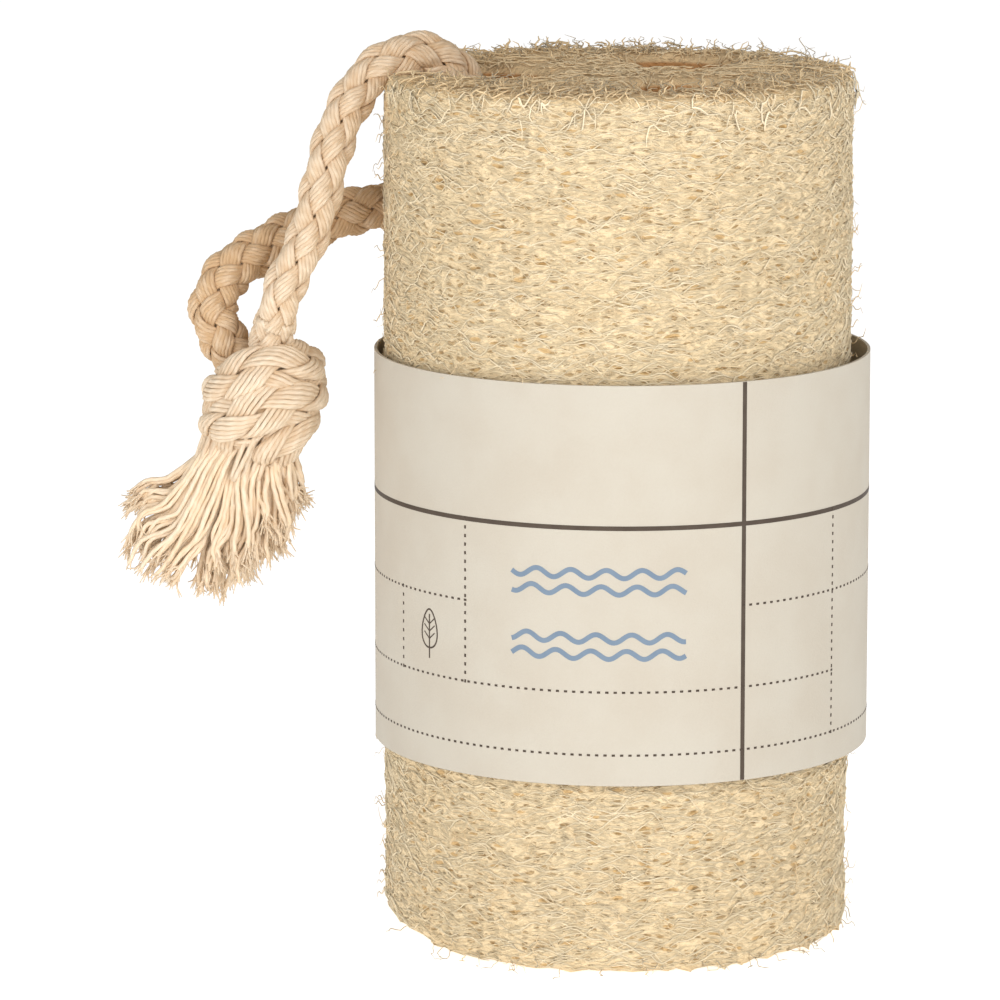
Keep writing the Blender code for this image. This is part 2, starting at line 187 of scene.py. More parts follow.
def is_vector(value: Fed) -> bool:
    """Whether a value to be fed is a vector.

    Args:
        value: a node's output or a plain value.

    Returns:
        True for a vector or a colour.
    """
    if isinstance(value, Value):
        return value.socket.type in ("VECTOR", "RGBA")
    return isinstance(value, (tuple, list, Vector))


class Tree:
    """A node tree that is built node by node."""

    def __init__(self, nodes: bpy.types.NodeTree) -> None:
        """Wraps a new or an emptied tree."""
        self.nodes = nodes

    @classmethod
    def group(cls, name: str, kind: str, inputs: dict, outputs: dict) -> "Tree":
        """A new node group with named sockets.

        Args:
            name: the group's name.
            kind: the tree's type name.
            inputs: socket names with their types, or with their default numbers and colours.
            outputs: socket names with their types.

        Returns:
            The tree, with its input and output nodes in place.
        """
        group = bpy.data.node_groups.new(name, kind)
        for flow, sockets in (("INPUT", inputs), ("OUTPUT", outputs)):
            for title, start in sockets.items():
                plain = {float: "NodeSocketFloat", int: "NodeSocketInt", tuple: "NodeSocketVector"}
                kind_of_socket = start if isinstance(start, str) else plain[type(start)]
                socket = group.interface.new_socket(title, in_out=flow, socket_type=kind_of_socket)
                if not isinstance(start, str):
                    socket.default_value = start
        tree = cls(group)
        tree.entry = tree.add("NodeGroupInput")
        tree.exit = tree.add("NodeGroupOutput")
        return tree

    def given(self, name: str) -> Value:
        """A named input of the group."""
        return Value(self, self.entry.outputs[name])

    def add(self, kind: str, feeds: dict | None = None, **settings: object) -> bpy.types.Node:
        """A new node.

        Args:
            kind: the node's type name.
            feeds: values or sockets for its inputs, by name or number.
            settings: properties of the node.

        Returns:
            The node.
        """
        node = self.nodes.nodes.new(kind)
        for key, value in settings.items():
            setattr(node, key, value)
        for key, value in (feeds or {}).items():
            self.feed(node.inputs[key], value)
        return node

    def feed(self, socket: bpy.types.NodeSocket, value: Fed) -> None:
        """Links a value to an input socket, or sets the number on it.

        Args:
            socket: the input.
            value: a node, its output or a plain value.
        """
        if isinstance(value, Value):
            self.nodes.links.new(value.socket, socket)
        elif isinstance(value, bpy.types.Node):
            self.nodes.links.new(value.outputs[0], socket)
        else:
            socket.default_value = value

    def made(self, kind: str, feeds: dict | None = None, out: str | int = 0, **settings: object) -> Value:
        """The named output of a new node."""
        return Value(self, self.add(kind, feeds, **settings).outputs[out])

    def work(self, operation: str, *values: Fed) -> Value:
        """Arithmetic on numbers or vectors.

        Args:
            operation: what Blender's math nodes call it.
            values: the numbers or vectors.

        Returns:
            The result.
        """
        vectors = [is_vector(value) for value in values]
        if not any(vectors):
            return self.made("ShaderNodeMath", dict(enumerate(values)), operation=operation)
        if operation == "MULTIPLY" and not all(vectors):
            first, second = values if vectors[0] else reversed(values)
            return self.made("ShaderNodeVectorMath", {0: first, "Scale": second}, operation="SCALE")
        number = operation in ("DOT_PRODUCT", "LENGTH", "DISTANCE")
        out = "Value" if number else "Vector"
        return self.made("ShaderNodeVectorMath", dict(enumerate(values)), out, operation=operation)

    def between(self, value: Fed, low: Fed, high: Fed, to_low: Fed = 0.0, to_high: Fed = 1.0) -> Value:
        """Goes smoothly from one number to another as the value goes from low to high."""
        feeds = {"Value": value, "From Min": low, "From Max": high, "To Min": to_low, "To Max": to_high}
        return self.made("ShaderNodeMapRange", feeds, "Result", interpolation_type="SMOOTHSTEP")

    def mix(self, share: Fed, first: Fed, second: Fed) -> Value:
        """A blend of two vectors."""
        return first * (1.0 - share) + second * share

    def blend(self, share: Fed, first: Fed, second: Fed) -> Value:
        """A blend of two colours.

        Args:
            share: how much of the second, from 0 to 1.
            first: the first colour.
            second: the second colour.

        Returns:
            The colour.
        """
        feeds = {"Factor": share, 6: first, 7: second}
        node = self.add("ShaderNodeMix", data_type="RGBA")
        for key, value in feeds.items():
            self.feed(node.inputs[key], value)
        return Value(self, node.outputs[2])

    def parts(self, vector: Fed) -> tuple[Value, Value, Value]:
        """The three numbers of a vector."""
        node = self.add("ShaderNodeSeparateXYZ", {0: vector})
        return tuple(Value(self, socket) for socket in node.outputs)

    def joined(self, x: Fed, y: Fed, z: Fed) -> Value:
        """The vector of three numbers."""
        return self.made("ShaderNodeCombineXYZ", {0: x, 1: y, 2: z})

    def noise(self, vector: Fed, scale: Fed, detail: float = 2.0, out: str = "Fac") -> Value:
        """Soft noise, about 0.5 in the middle."""
        feeds = {"Vector": vector, "Scale": scale, "Detail": detail}
        return self.made("ShaderNodeTexNoise", feeds, out)

    def here(self) -> Value:
        """The place on the piece, in a material."""
        return self.made("ShaderNodeTexCoord", out="Object")

    def read(self, name: str, out: str = "Fac") -> Value:
        """What the piece has stored under a name, in a material."""
        return self.made("ShaderNodeAttribute", out=out, attribute_name=name)

    def stored(self, name: str, kind: str = "FLOAT") -> Value:
        """A named attribute, in a tree that makes geometry."""
        return self.made("GeometryNodeInputNamedAttribute", {"Name": name}, "Attribute", data_type=kind)

    def keep(self, geometry: Fed, name: str, value: Fed) -> Value:
        """Stores a value on the geometry's points under a name.

        Args:
            geometry: what it is stored on.
            name: the attribute's name.
            value: the value.

        Returns:
            The geometry with the value.
        """
        kind = "FLOAT_VECTOR" if is_vector(value) else "FLOAT"
        feeds = {"Geometry": geometry, "Name": name, "Value": value}
        return self.made("GeometryNodeStoreNamedAttribute", feeds, data_type=kind)

    def finished(self, geometry: Fed) -> bpy.types.NodeTree:
        """Ends a tree that makes geometry: instances made real, faces smooth, and the material set.

        Args:
            geometry: what the tree has made.

        Returns:
            The node tree.
        """
        smooth = self.made("GeometryNodeSetShadeSmooth", {"Geometry": geometry})
        real = self.made("GeometryNodeRealizeInstances", {"Geometry": smooth})
        dressed = self.made("GeometryNodeSetMaterial", {"Geometry": real, "Material": self.given("Material")})
        self.feed(self.exit.inputs["Geometry"], dressed)
        return self.nodes


def plain_object(name: str, data: bpy.types.ID) -> bpy.types.Object:
    """A new object at the origin.

    Args:
        name: its name.
        data: its mesh, lamp or camera.

    Returns:
        The object.
    """
    obj = bpy.data.objects.new(name, data)
    bpy.context.scene.collection.objects.link(obj)
    return obj


def mesh_of(bm: bmesh.types.BMesh, name: str) -> bpy.types.Mesh:
    """The mesh of what was modelled, which is then let go.

    Args:
        bm: what was modelled.
        name: the mesh's name.

    Returns:
        The mesh.
    """
    mesh = bpy.data.meshes.new(name)
    bm.to_mesh(mesh)
    bm.free()
    return mesh


def bridge(bm: bmesh.types.BMesh, here: Sequence[bmesh.types.BMVert],
           there: Sequence[bmesh.types.BMVert]) -> None:
    """Joins two rings of points with faces.

    Args:
        bm: where the faces are made.
        here: the first ring.
        there: the next ring, with as many points.
    """
    for i in range(len(here)):
        j = (i + 1) % len(here)
        bm.faces.new((here[i], there[i], there[j], here[j]))


def as_array(points: Sequence[Vector]) -> np.ndarray:
    """The points as the rows of an array."""
    return np.array([list(point) for point in points])


def seen_mesh(obj: bpy.types.Object) -> bpy.types.Mesh:
    """The object's mesh with its modifiers worked out.

    Args:
        obj: the object.

    Returns:
        A new mesh.
    """
    bpy.context.view_layer.update()
    depsgraph = bpy.context.evaluated_depsgraph_get()
    found = obj.evaluated_get(depsgraph)
    return bpy.data.meshes.new_from_object(found, preserve_all_data_layers=True, depsgraph=depsgraph)


def made_by(group: bpy.types.NodeTree, name: str, source: bpy.types.Mesh, kept: Sequence[str] = (),
            **inputs: object) -> bpy.types.Object:
    """Runs a geometry tree on a mesh and keeps the plain mesh that comes out.

    Args:
        group: the tree.
        name: the name of the new piece.
        source: the mesh that the tree starts from.
        kept: the attributes that the materials read.
        inputs: the tree's inputs, with underscores for spaces.

    Returns:
        The new object, which has no modifier.
    """
    maker = plain_object(name + "_maker", source)
    modifier = maker.modifiers.new("nodes", "NODES")
    modifier.node_group = group
    places = {item.name: item.identifier for item in group.interface.items_tree if item.in_out == "INPUT"}
    for title, value in inputs.items():
        modifier[places[title.replace("_", " ")]] = value
    mesh = seen_mesh(maker)
    bpy.data.objects.remove(maker, do_unlink=True)
    for attribute in [a for a in mesh.attributes if not (a.is_required or a.is_internal or a.name in kept)]:
        if attribute.name not in ("sharp_face", "material_index"):
            mesh.attributes.remove(attribute)
    piece = plain_object(name, mesh)
    mesh.name = name
    return piece


def rode(piece: bpy.types.Object, slot: str, *nodes: str) -> bpy.types.Object:
    """Puts a piece on the part's one body, hides the nodes that it stands for, and reports it with its slot's
    name.

    Args:
        piece: the piece.
        slot: its material slot.
        nodes: the part's nodes that it stands for.

    Returns:
        The piece.
    """
    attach(piece, BODY)
    if nodes:
        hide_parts(*nodes)
    triangles = sum(len(face.vertices) - 2 for face in piece.data.polygons)
    LOG.info("%s: %d triangles, finish %s", piece.name, triangles, slot)
    return piece


def smooth_route(places: Sequence[Sequence[float]], spacing: float) -> list[Vector]:
    """Evenly spaced points on a smooth curve through the places.

    Args:
        places: what the curve passes.
        spacing: the wanted distance of the points.

    Returns:
        The points, from the first place to the last.
    """
    places = [Vector(place) for place in places]
    ends = [places[0] * 2 - places[1], *places, places[-1] * 2 - places[-2]]
    slopes = [(after - before) / 6 for before, after in zip(ends, ends[2:])]
    fine = [places[0]]
    for i in range(len(places) - 1):
        here, there = places[i], places[i + 1]
        fine += interpolate_bezier(here, here + slopes[i], there - slopes[i + 1], there, 24)[1:]
    lengths = [(b - a).length for a, b in zip(fine, fine[1:])]
    steps = max(2, round(sum(lengths) / spacing))
    points = [fine[0]]
    wanted = sum(lengths) / steps
    travelled = 0
    for start, end, length in zip(fine, fine[1:], lengths):
        while len(points) < steps and travelled + length >= wanted * len(points):
            points.append(start.lerp(end, (wanted * len(points) - travelled) / length))
        travelled += length
    return points + [fine[-1]]


def linear(colour: Sequence[int]) -> tuple[float, float, float, float]:
    """A colour of 0 to 255 as Blender's linear colour."""
    share = [c / 255 for c in colour]
    return (*[c / 12.92 if c <= 0.04045 else ((c + 0.055) / 1.055) ** 2.4 for c in share], 1.0)


@dataclass(frozen=True)
class Grain:
    """Uneven colour and a slightly rough surface, which every finish of the part has."""

    name: str = "grain"

    def group(self) -> bpy.types.NodeTree:
        """The shared shader group, built once.

        Returns:
            The node tree.
        """
        if self.name in bpy.data.node_groups:
            return bpy.data.node_groups[self.name]
        tree = Tree.group(self.name, "ShaderNodeTree",
                          {"Vector": "NodeSocketVector", "Patch size": 0.01, "Grain size": 0.0004},
                          {"Patches": "NodeSocketFloat", "Height": "NodeSocketFloat"})
        patches = tree.noise(tree.given("Vector"), 1.0 / tree.given("Patch size"), 3.0)
        fine = tree.noise(tree.given("Vector"), 1.0 / tree.given("Grain size"), 2.0)
        tree.feed(tree.exit.inputs["Patches"], tree.between(patches, 0.3, 0.7))
        tree.feed(tree.exit.inputs["Height"], fine)
        return tree.nodes

    def place(self, tree: Tree, vector: Fed, patch: float, grain: float) -> tuple[Value, Value]:
        """Adds the group to a material.

        Args:
            tree: the material's tree.
            vector: where the pattern lies.
            patch: the size of the patches of colour.
            grain: the size of the grain.

        Returns:
            The patches, from 0 to 1, and the grain's height.
        """
        node = tree.add("ShaderNodeGroup", node_tree=self.group())
        for key, value in (("Vector", vector), ("Patch size", patch), ("Grain size", grain)):
            tree.feed(node.inputs[key], value)
        return Value(tree, node.outputs["Patches"]), Value(tree, node.outputs["Height"])


def new_material(name: str, roughness: float) -> tuple[bpy.types.Material, Tree, bpy.types.Node]:
    """A new material with one shader.

    Args:
        name: its name.
        roughness: the shader's roughness.

    Returns:
        The material, its tree and its shader.
    """
    material = bpy.data.materials.new(name)
    material.use_nodes = True
    shader = material.node_tree.nodes["Principled BSDF"]
    shader.inputs["Roughness"].default_value = roughness
    shader.inputs["Specular IOR Level"].default_value = 0.3
    return material, Tree(material.node_tree), shader


def add_fuzz(shader: bpy.types.Node, weight: float) -> None:
    """Brightens a fuzzy surface where it turns away.

    Args:
        shader: the shader.
        weight: how strong it is.
    """
    shader.inputs["Sheen Weight"].default_value = weight
    shader.inputs["Sheen Roughness"].default_value = 0.5
    shader.inputs["Sheen Tint"].default_value = (1.0, 0.85, 0.60, 1.0)


def paint(tree: Tree, shader: bpy.types.Node, share: Value, dark: Sequence[int],
          light: Sequence[int]) -> None:
    """Gives the shader a blend of two colours of 0 to 255."""
    tree.feed(shader.inputs["Base Color"], tree.blend(share, linear(dark), linear(light)))


def raise_bump(tree: Tree, shader: bpy.types.Node, height: Fed, depth: float,
               facing: Fed | None = None) -> None:
    """Gives the shader a bump.

    Args:
        tree: the material's tree.
        shader: the shader.
        height: the pattern.
        depth: its depth in metres.
        facing: the direction that it stands on, or None for the surface's own.
    """
    bump = tree.add("ShaderNodeBump", {"Height": height, "Distance": depth, "Strength": 1.0})
    if facing is not None:
        tree.feed(bump.inputs["Normal"], facing)
    tree.feed(shader.inputs["Normal"], Value(tree, bump.outputs["Normal"]))


@dataclass(frozen=True)
class Openings:
    """Lens-shaped openings in the matted wall, which both the material and the fibres leave free."""

    length: float
    height: float
    rare: float
    wide: float
    shift: float = 0.0
    wall_radius: float = 0.041
    waver: float = 0.0018

    def unrolled(self, tree: Tree, place: Value) -> tuple[Value, Value]:
        """The distance round and up the sponge, a little wavering so that the openings tilt.

        Args:
            tree: the tree to build in.
            place: the place on the sponge.

        Returns:
            The two distances.
        """
        x, y, z = tree.parts(place)
        radius = tree.work("SQRT", x * x + y * y)
        sway = (tree.noise(place, 260.0, 1.0, "Color") - (0.5, 0.5, 0.5)) * self.waver
        sway_around, sway_up, _ = tree.parts(sway)
        around = tree.work("ARCTAN2", x, y * -1.0) * self.wall_radius + sway_around
        return around, z + radius + sway_up + self.shift

    def cell(self, tree: Tree, around: Value, up: Value) -> tuple[Value, Value, Value]:
        """The cell of the pattern that a place lies in.

        Args:
            tree: the tree to build in.
            around: the distance round the sponge.
            up: the distance up it.

        Returns:
            The way from the cell's middle to the place, its length, and how far the opening reaches.
        """
        spot = tree.joined(around / self.length, up / self.height, 0.0)
        cells = tree.add("ShaderNodeTexVoronoi", {"Vector": spot, "Scale": 1.0}, voronoi_dimensions="2D")
        chance, _, _ = tree.parts(Value(tree, cells.outputs["Color"]))
        reach = tree.between(chance, self.rare, 1.0, 0.01, self.wide)
        away = spot - Value(tree, cells.outputs["Position"])
        return away, Value(tree, cells.outputs["Distance"]), reach

    def mask(self, tree: Tree, around: Value, up: Value) -> Value:
        """1 in the openings and 0 between them."""
        _, distance, reach = self.cell(tree, around, up)
        return tree.between(distance, reach * 0.55, reach, 1.0, 0.0)

    def parted(self, tree: Tree, place: Value) -> Value:
        """Moves a place out of the opening that it lies in, along the wall.

        Args:
            tree: the tree of nodes.
            place: the place on the piece.

        Returns:
            The moved place.
        """
        around, up = self.unrolled(tree, place)
        away, distance, reach = self.cell(tree, around, up)
        push = tree.work("MAXIMUM", reach - distance, 0.0) / tree.work("MAXIMUM", distance, 0.02)
        step_around, step_up, _ = tree.parts(away * push)
        turn = step_around * (self.length / self.wall_radius)
        x, y, z = tree.parts(place)
        return tree.joined(x - y * turn, y + x * turn, z + step_up * self.height)


HOLES = Openings(0.0023, 0.00072, 0.30, 0.46)
PITS = Openings(0.0044, 0.0015, 0.50, 0.36, 0.0007)


@dataclass(frozen=True)
class WebFinish:
    """The sponge's own surface under its loose fibres: matted fibres with small open pits, with painted shade
    in its openings and channels.
    """

    light: tuple = (234, 212, 173)
    dark: tuple = (220, 190, 144)
    # The hole, pit and inside colours are painted shade: the dark in the openings, in the pits and in the
    # seed channels.
    hole_shade: tuple = (146, 106, 46)
    pit_shade: tuple = (198, 158, 100)
    inside: tuple = (184, 122, 60)
    cut: tuple = (232, 204, 158)
    inside_radius: float = 0.0345
    inside_fade: float = 0.002
    cut_height: float = 0.1485
    cut_fade: float = 0.0006
    patch: float = 0.008
    grain: float = 0.0005
    fibre_length: float = 0.0060
    fibre_width: float = 0.00055
    slants: tuple = (-0.45, -0.05, 0.40)
    roughness: float = 0.8
    fuzz: float = 0.1
    depth: float = 0.00016

    def streaks(self, tree: Tree, around: Value, up: Value, layer: Value) -> Value:
        """Pale lines where fibres lie on top, at several slants.

        Args:
            tree: the tree of nodes.
            around: the distance round the wall.
            up: the distance up it.
            layer: which layer of fibres the place is in.

        Returns:
            The streaks, from 0 to 1.
        """
        found = None
        for i, slant in enumerate(self.slants):
            along = around * math.cos(slant) + up * math.sin(slant)
            across = up * math.cos(slant) - around * math.sin(slant)
            spot = tree.joined(along / self.fibre_length, across / self.fibre_width, layer + 7.0 * i)
            ridge = 1.0 - tree.work("ABSOLUTE", tree.noise(spot, 1.0, 1.0) - 0.5) * 7.0
            found = ridge if found is None else tree.work("MAXIMUM", found, ridge)
        return tree.work("MAXIMUM", found, 0.0)

    def material(self) -> bpy.types.Material:
        """Matted streaks on the wall, holes and pits darkened by painted shade, a painted brown shade in the
        channels, and duller on the cut end.

        Returns:
            The material.
        """
        material, tree, shader = new_material("loofah_web", self.roughness)
        add_fuzz(shader, self.fuzz)
        place = tree.here()
        x, y, z = tree.parts(place)
        radius = tree.work("SQRT", x * x + y * y)
        around, up = HOLES.unrolled(tree, place)
        streaks = self.streaks(tree, around, up, radius * 300.0)
        holes = HOLES.mask(tree, around, up)
        pits = PITS.mask(tree, *PITS.unrolled(tree, place))
        patches, height = Grain().place(tree, place, self.patch, self.grain)
        share = streaks * 0.6 + patches * 0.2 + height * 0.25
        colour = tree.blend(share, linear(self.dark), linear(self.light))
        # Painted shade in the pits and the holes.
        colour = tree.blend(pits * 0.75, colour, linear(self.pit_shade))
        colour = tree.blend(holes * (1.0 - streaks * 0.4) * 0.9, colour, linear(self.hole_shade))
        # Painted shade: brown inside the seed channels.
        channel_shade = tree.between(radius, self.inside_radius, self.inside_radius + self.inside_fade, 1.0, 0.0)
        colour = tree.blend(channel_shade * 0.85, colour, linear(self.inside))
        cut = tree.between(z, self.cut_height - self.cut_fade, self.cut_height)
        colour = tree.blend(cut * 0.8, colour, linear(self.cut))
        tree.feed(shader.inputs["Base Color"], colour)
        raise_bump(tree, shader, streaks + height * 0.4 - pits * 0.8 - holes, self.depth)
        return material


@dataclass(frozen=True)
class FibreFinish:
    """A single loofah fibre: smooth, pale, a little different from the next, and darker as painted shade the
    lower it lies.
    """

    name: str
    light: tuple
    dark: tuple
    roughness: float = 0.65
    fuzz: float = 0.5
    matted: float = 0.0
    patch: float = 0.006
    grain: float = 0.0003
    depth: float = 0.00006

    def leaned(self, tree: Tree, place: Value) -> Value:
        """The fibre's own direction, leaned towards that of the wall under it.

        Args:
            tree: the tree of nodes.
            place: the place on the piece.

        Returns:
            The direction.
        """
        x, y, _ = tree.parts(place)
        wall = tree.work("NORMALIZE", tree.joined(x, y, 0.0))
        own = tree.made("ShaderNodeNewGeometry", out="Normal")
        return tree.work("NORMALIZE", tree.mix(self.matted, own, wall))

    def material(self) -> bpy.types.Material:
        """Each fibre's tone, half random and half painted shade that darkens the lower fibres, is stored on
        it, and matted fibres take the light as the wall under them does.

        Returns:
            The material.
        """
        material, tree, shader = new_material(self.name, self.roughness)
        add_fuzz(shader, self.fuzz)
        tone = tree.read("tone")
        place = tree.here()
        patches, height = Grain().place(tree, place, self.patch, self.grain)
        paint(tree, shader, tone * 0.8 + patches * 0.2, self.dark, self.light)
        facing = self.leaned(tree, place) if self.matted else None
        raise_bump(tree, shader, height, self.depth, facing)
        return material


@dataclass(frozen=True)
class CottonFinish:
    """Undyed cotton yarn of twisted plies, with grooves between the plies."""

    name: str
    light: tuple = (234, 216, 192)
    dark: tuple = (200, 166, 127)
    twist: float = 0.0024
    roughness: float = 0.85
    depth: float = 0.00010
    fuzz: float = 0.35
    patch: float = 0.004
    grain: float = 0.00025

    def material(self) -> bpy.types.Material:
        """The plies wind along each yarn, whose length and section are stored on it; painted shade darkens
        the yarns that lie deep and the grooves between the plies.

        Returns:
            The material.
        """
        material, tree, shader = new_material(self.name, self.roughness)
        add_fuzz(shader, self.fuzz)
        along = tree.read("along")
        tone = tree.read("tone")
        low = tree.read("low")
        ring = tree.read("ring", "Vector")
        c, s, _ = tree.parts(ring)
        turn = along * (TAU / self.twist)
        ply = tree.work("SINE", turn) * c + tree.work("COSINE", turn) * s
        place = tree.here()
        patches, height = Grain().place(tree, place, self.patch, self.grain)
        # Painted shade: yarns that lie low, and the grooves between the plies, are painted darker.
        share = tone * 0.3 + patches * 0.15 + ply * 0.10 + 0.5 - low * 0.5
        paint(tree, shader, share, self.dark, self.light)
        raise_bump(tree, shader, ply * 0.7 + height * 0.6, self.depth)
        return material


@dataclass(frozen=True)
class CardFinish:
    """Uncoated cream card with a faint fibre in it."""

    light: tuple = (198, 191, 177)
    dark: tuple = (191, 181, 165)
    roughness: float = 0.75
    patch: float = 0.012
    grain: float = 0.00035
    depth: float = 0.00003

    def material(self) -> bpy.types.Material:
        """Faint clouds and flecks.

        Returns:
            The material.
        """
        material, tree, shader = new_material("band_card", self.roughness)
        place = tree.here()
        patches, height = Grain().place(tree, place, self.patch, self.grain)
        paint(tree, shader, patches * 0.5 + height * 0.5, self.dark, self.light)
        raise_bump(tree, shader, height, self.depth)
        return material


@dataclass(frozen=True)
class InkFinish:
    """Flat printing ink on the card, a little uneven."""

    name: str
    colour: tuple
    worn: tuple
    roughness: float = 0.6
    patch: float = 0.003
    grain: float = 0.0003
    depth: float = 0.00002

    def material(self) -> bpy.types.Material:
        """Ink that lets a little of the card's tooth through.

        Returns:
            The material.
        """
        material, tree, shader = new_material(self.name, self.roughness)
        place = tree.here()
        patches, height = Grain().place(tree, place, self.patch, self.grain)
        paint(tree, shader, patches * 0.4 + height * 0.3, self.colour, self.worn)
        raise_bump(tree, shader, height, self.depth)
        return material


@dataclass(frozen=True)
class FloorFinish:
    """The pale paper that the sponge stands on."""

    colour: tuple = (250, 250, 250)
    worn: tuple = (247, 247, 246)
    glow: float = 0.66
    roughness: float = 0.9
    patch: float = 0.5
    grain: float = 0.01

    def material(self) -> bpy.types.Material:
        """Matt and nearly white.

        Returns:
            The material.
        """
        material, tree, shader = new_material("studio_floor", self.roughness)
        patches, _ = Grain().place(tree, tree.here(), self.patch, self.grain)
        paint(tree, shader, patches * 0.3, self.colour, self.worn)
        shader.inputs["Emission Color"].default_value = (1, 1, 1, 1)
        shader.inputs["Emission Strength"].default_value = self.glow
        return material


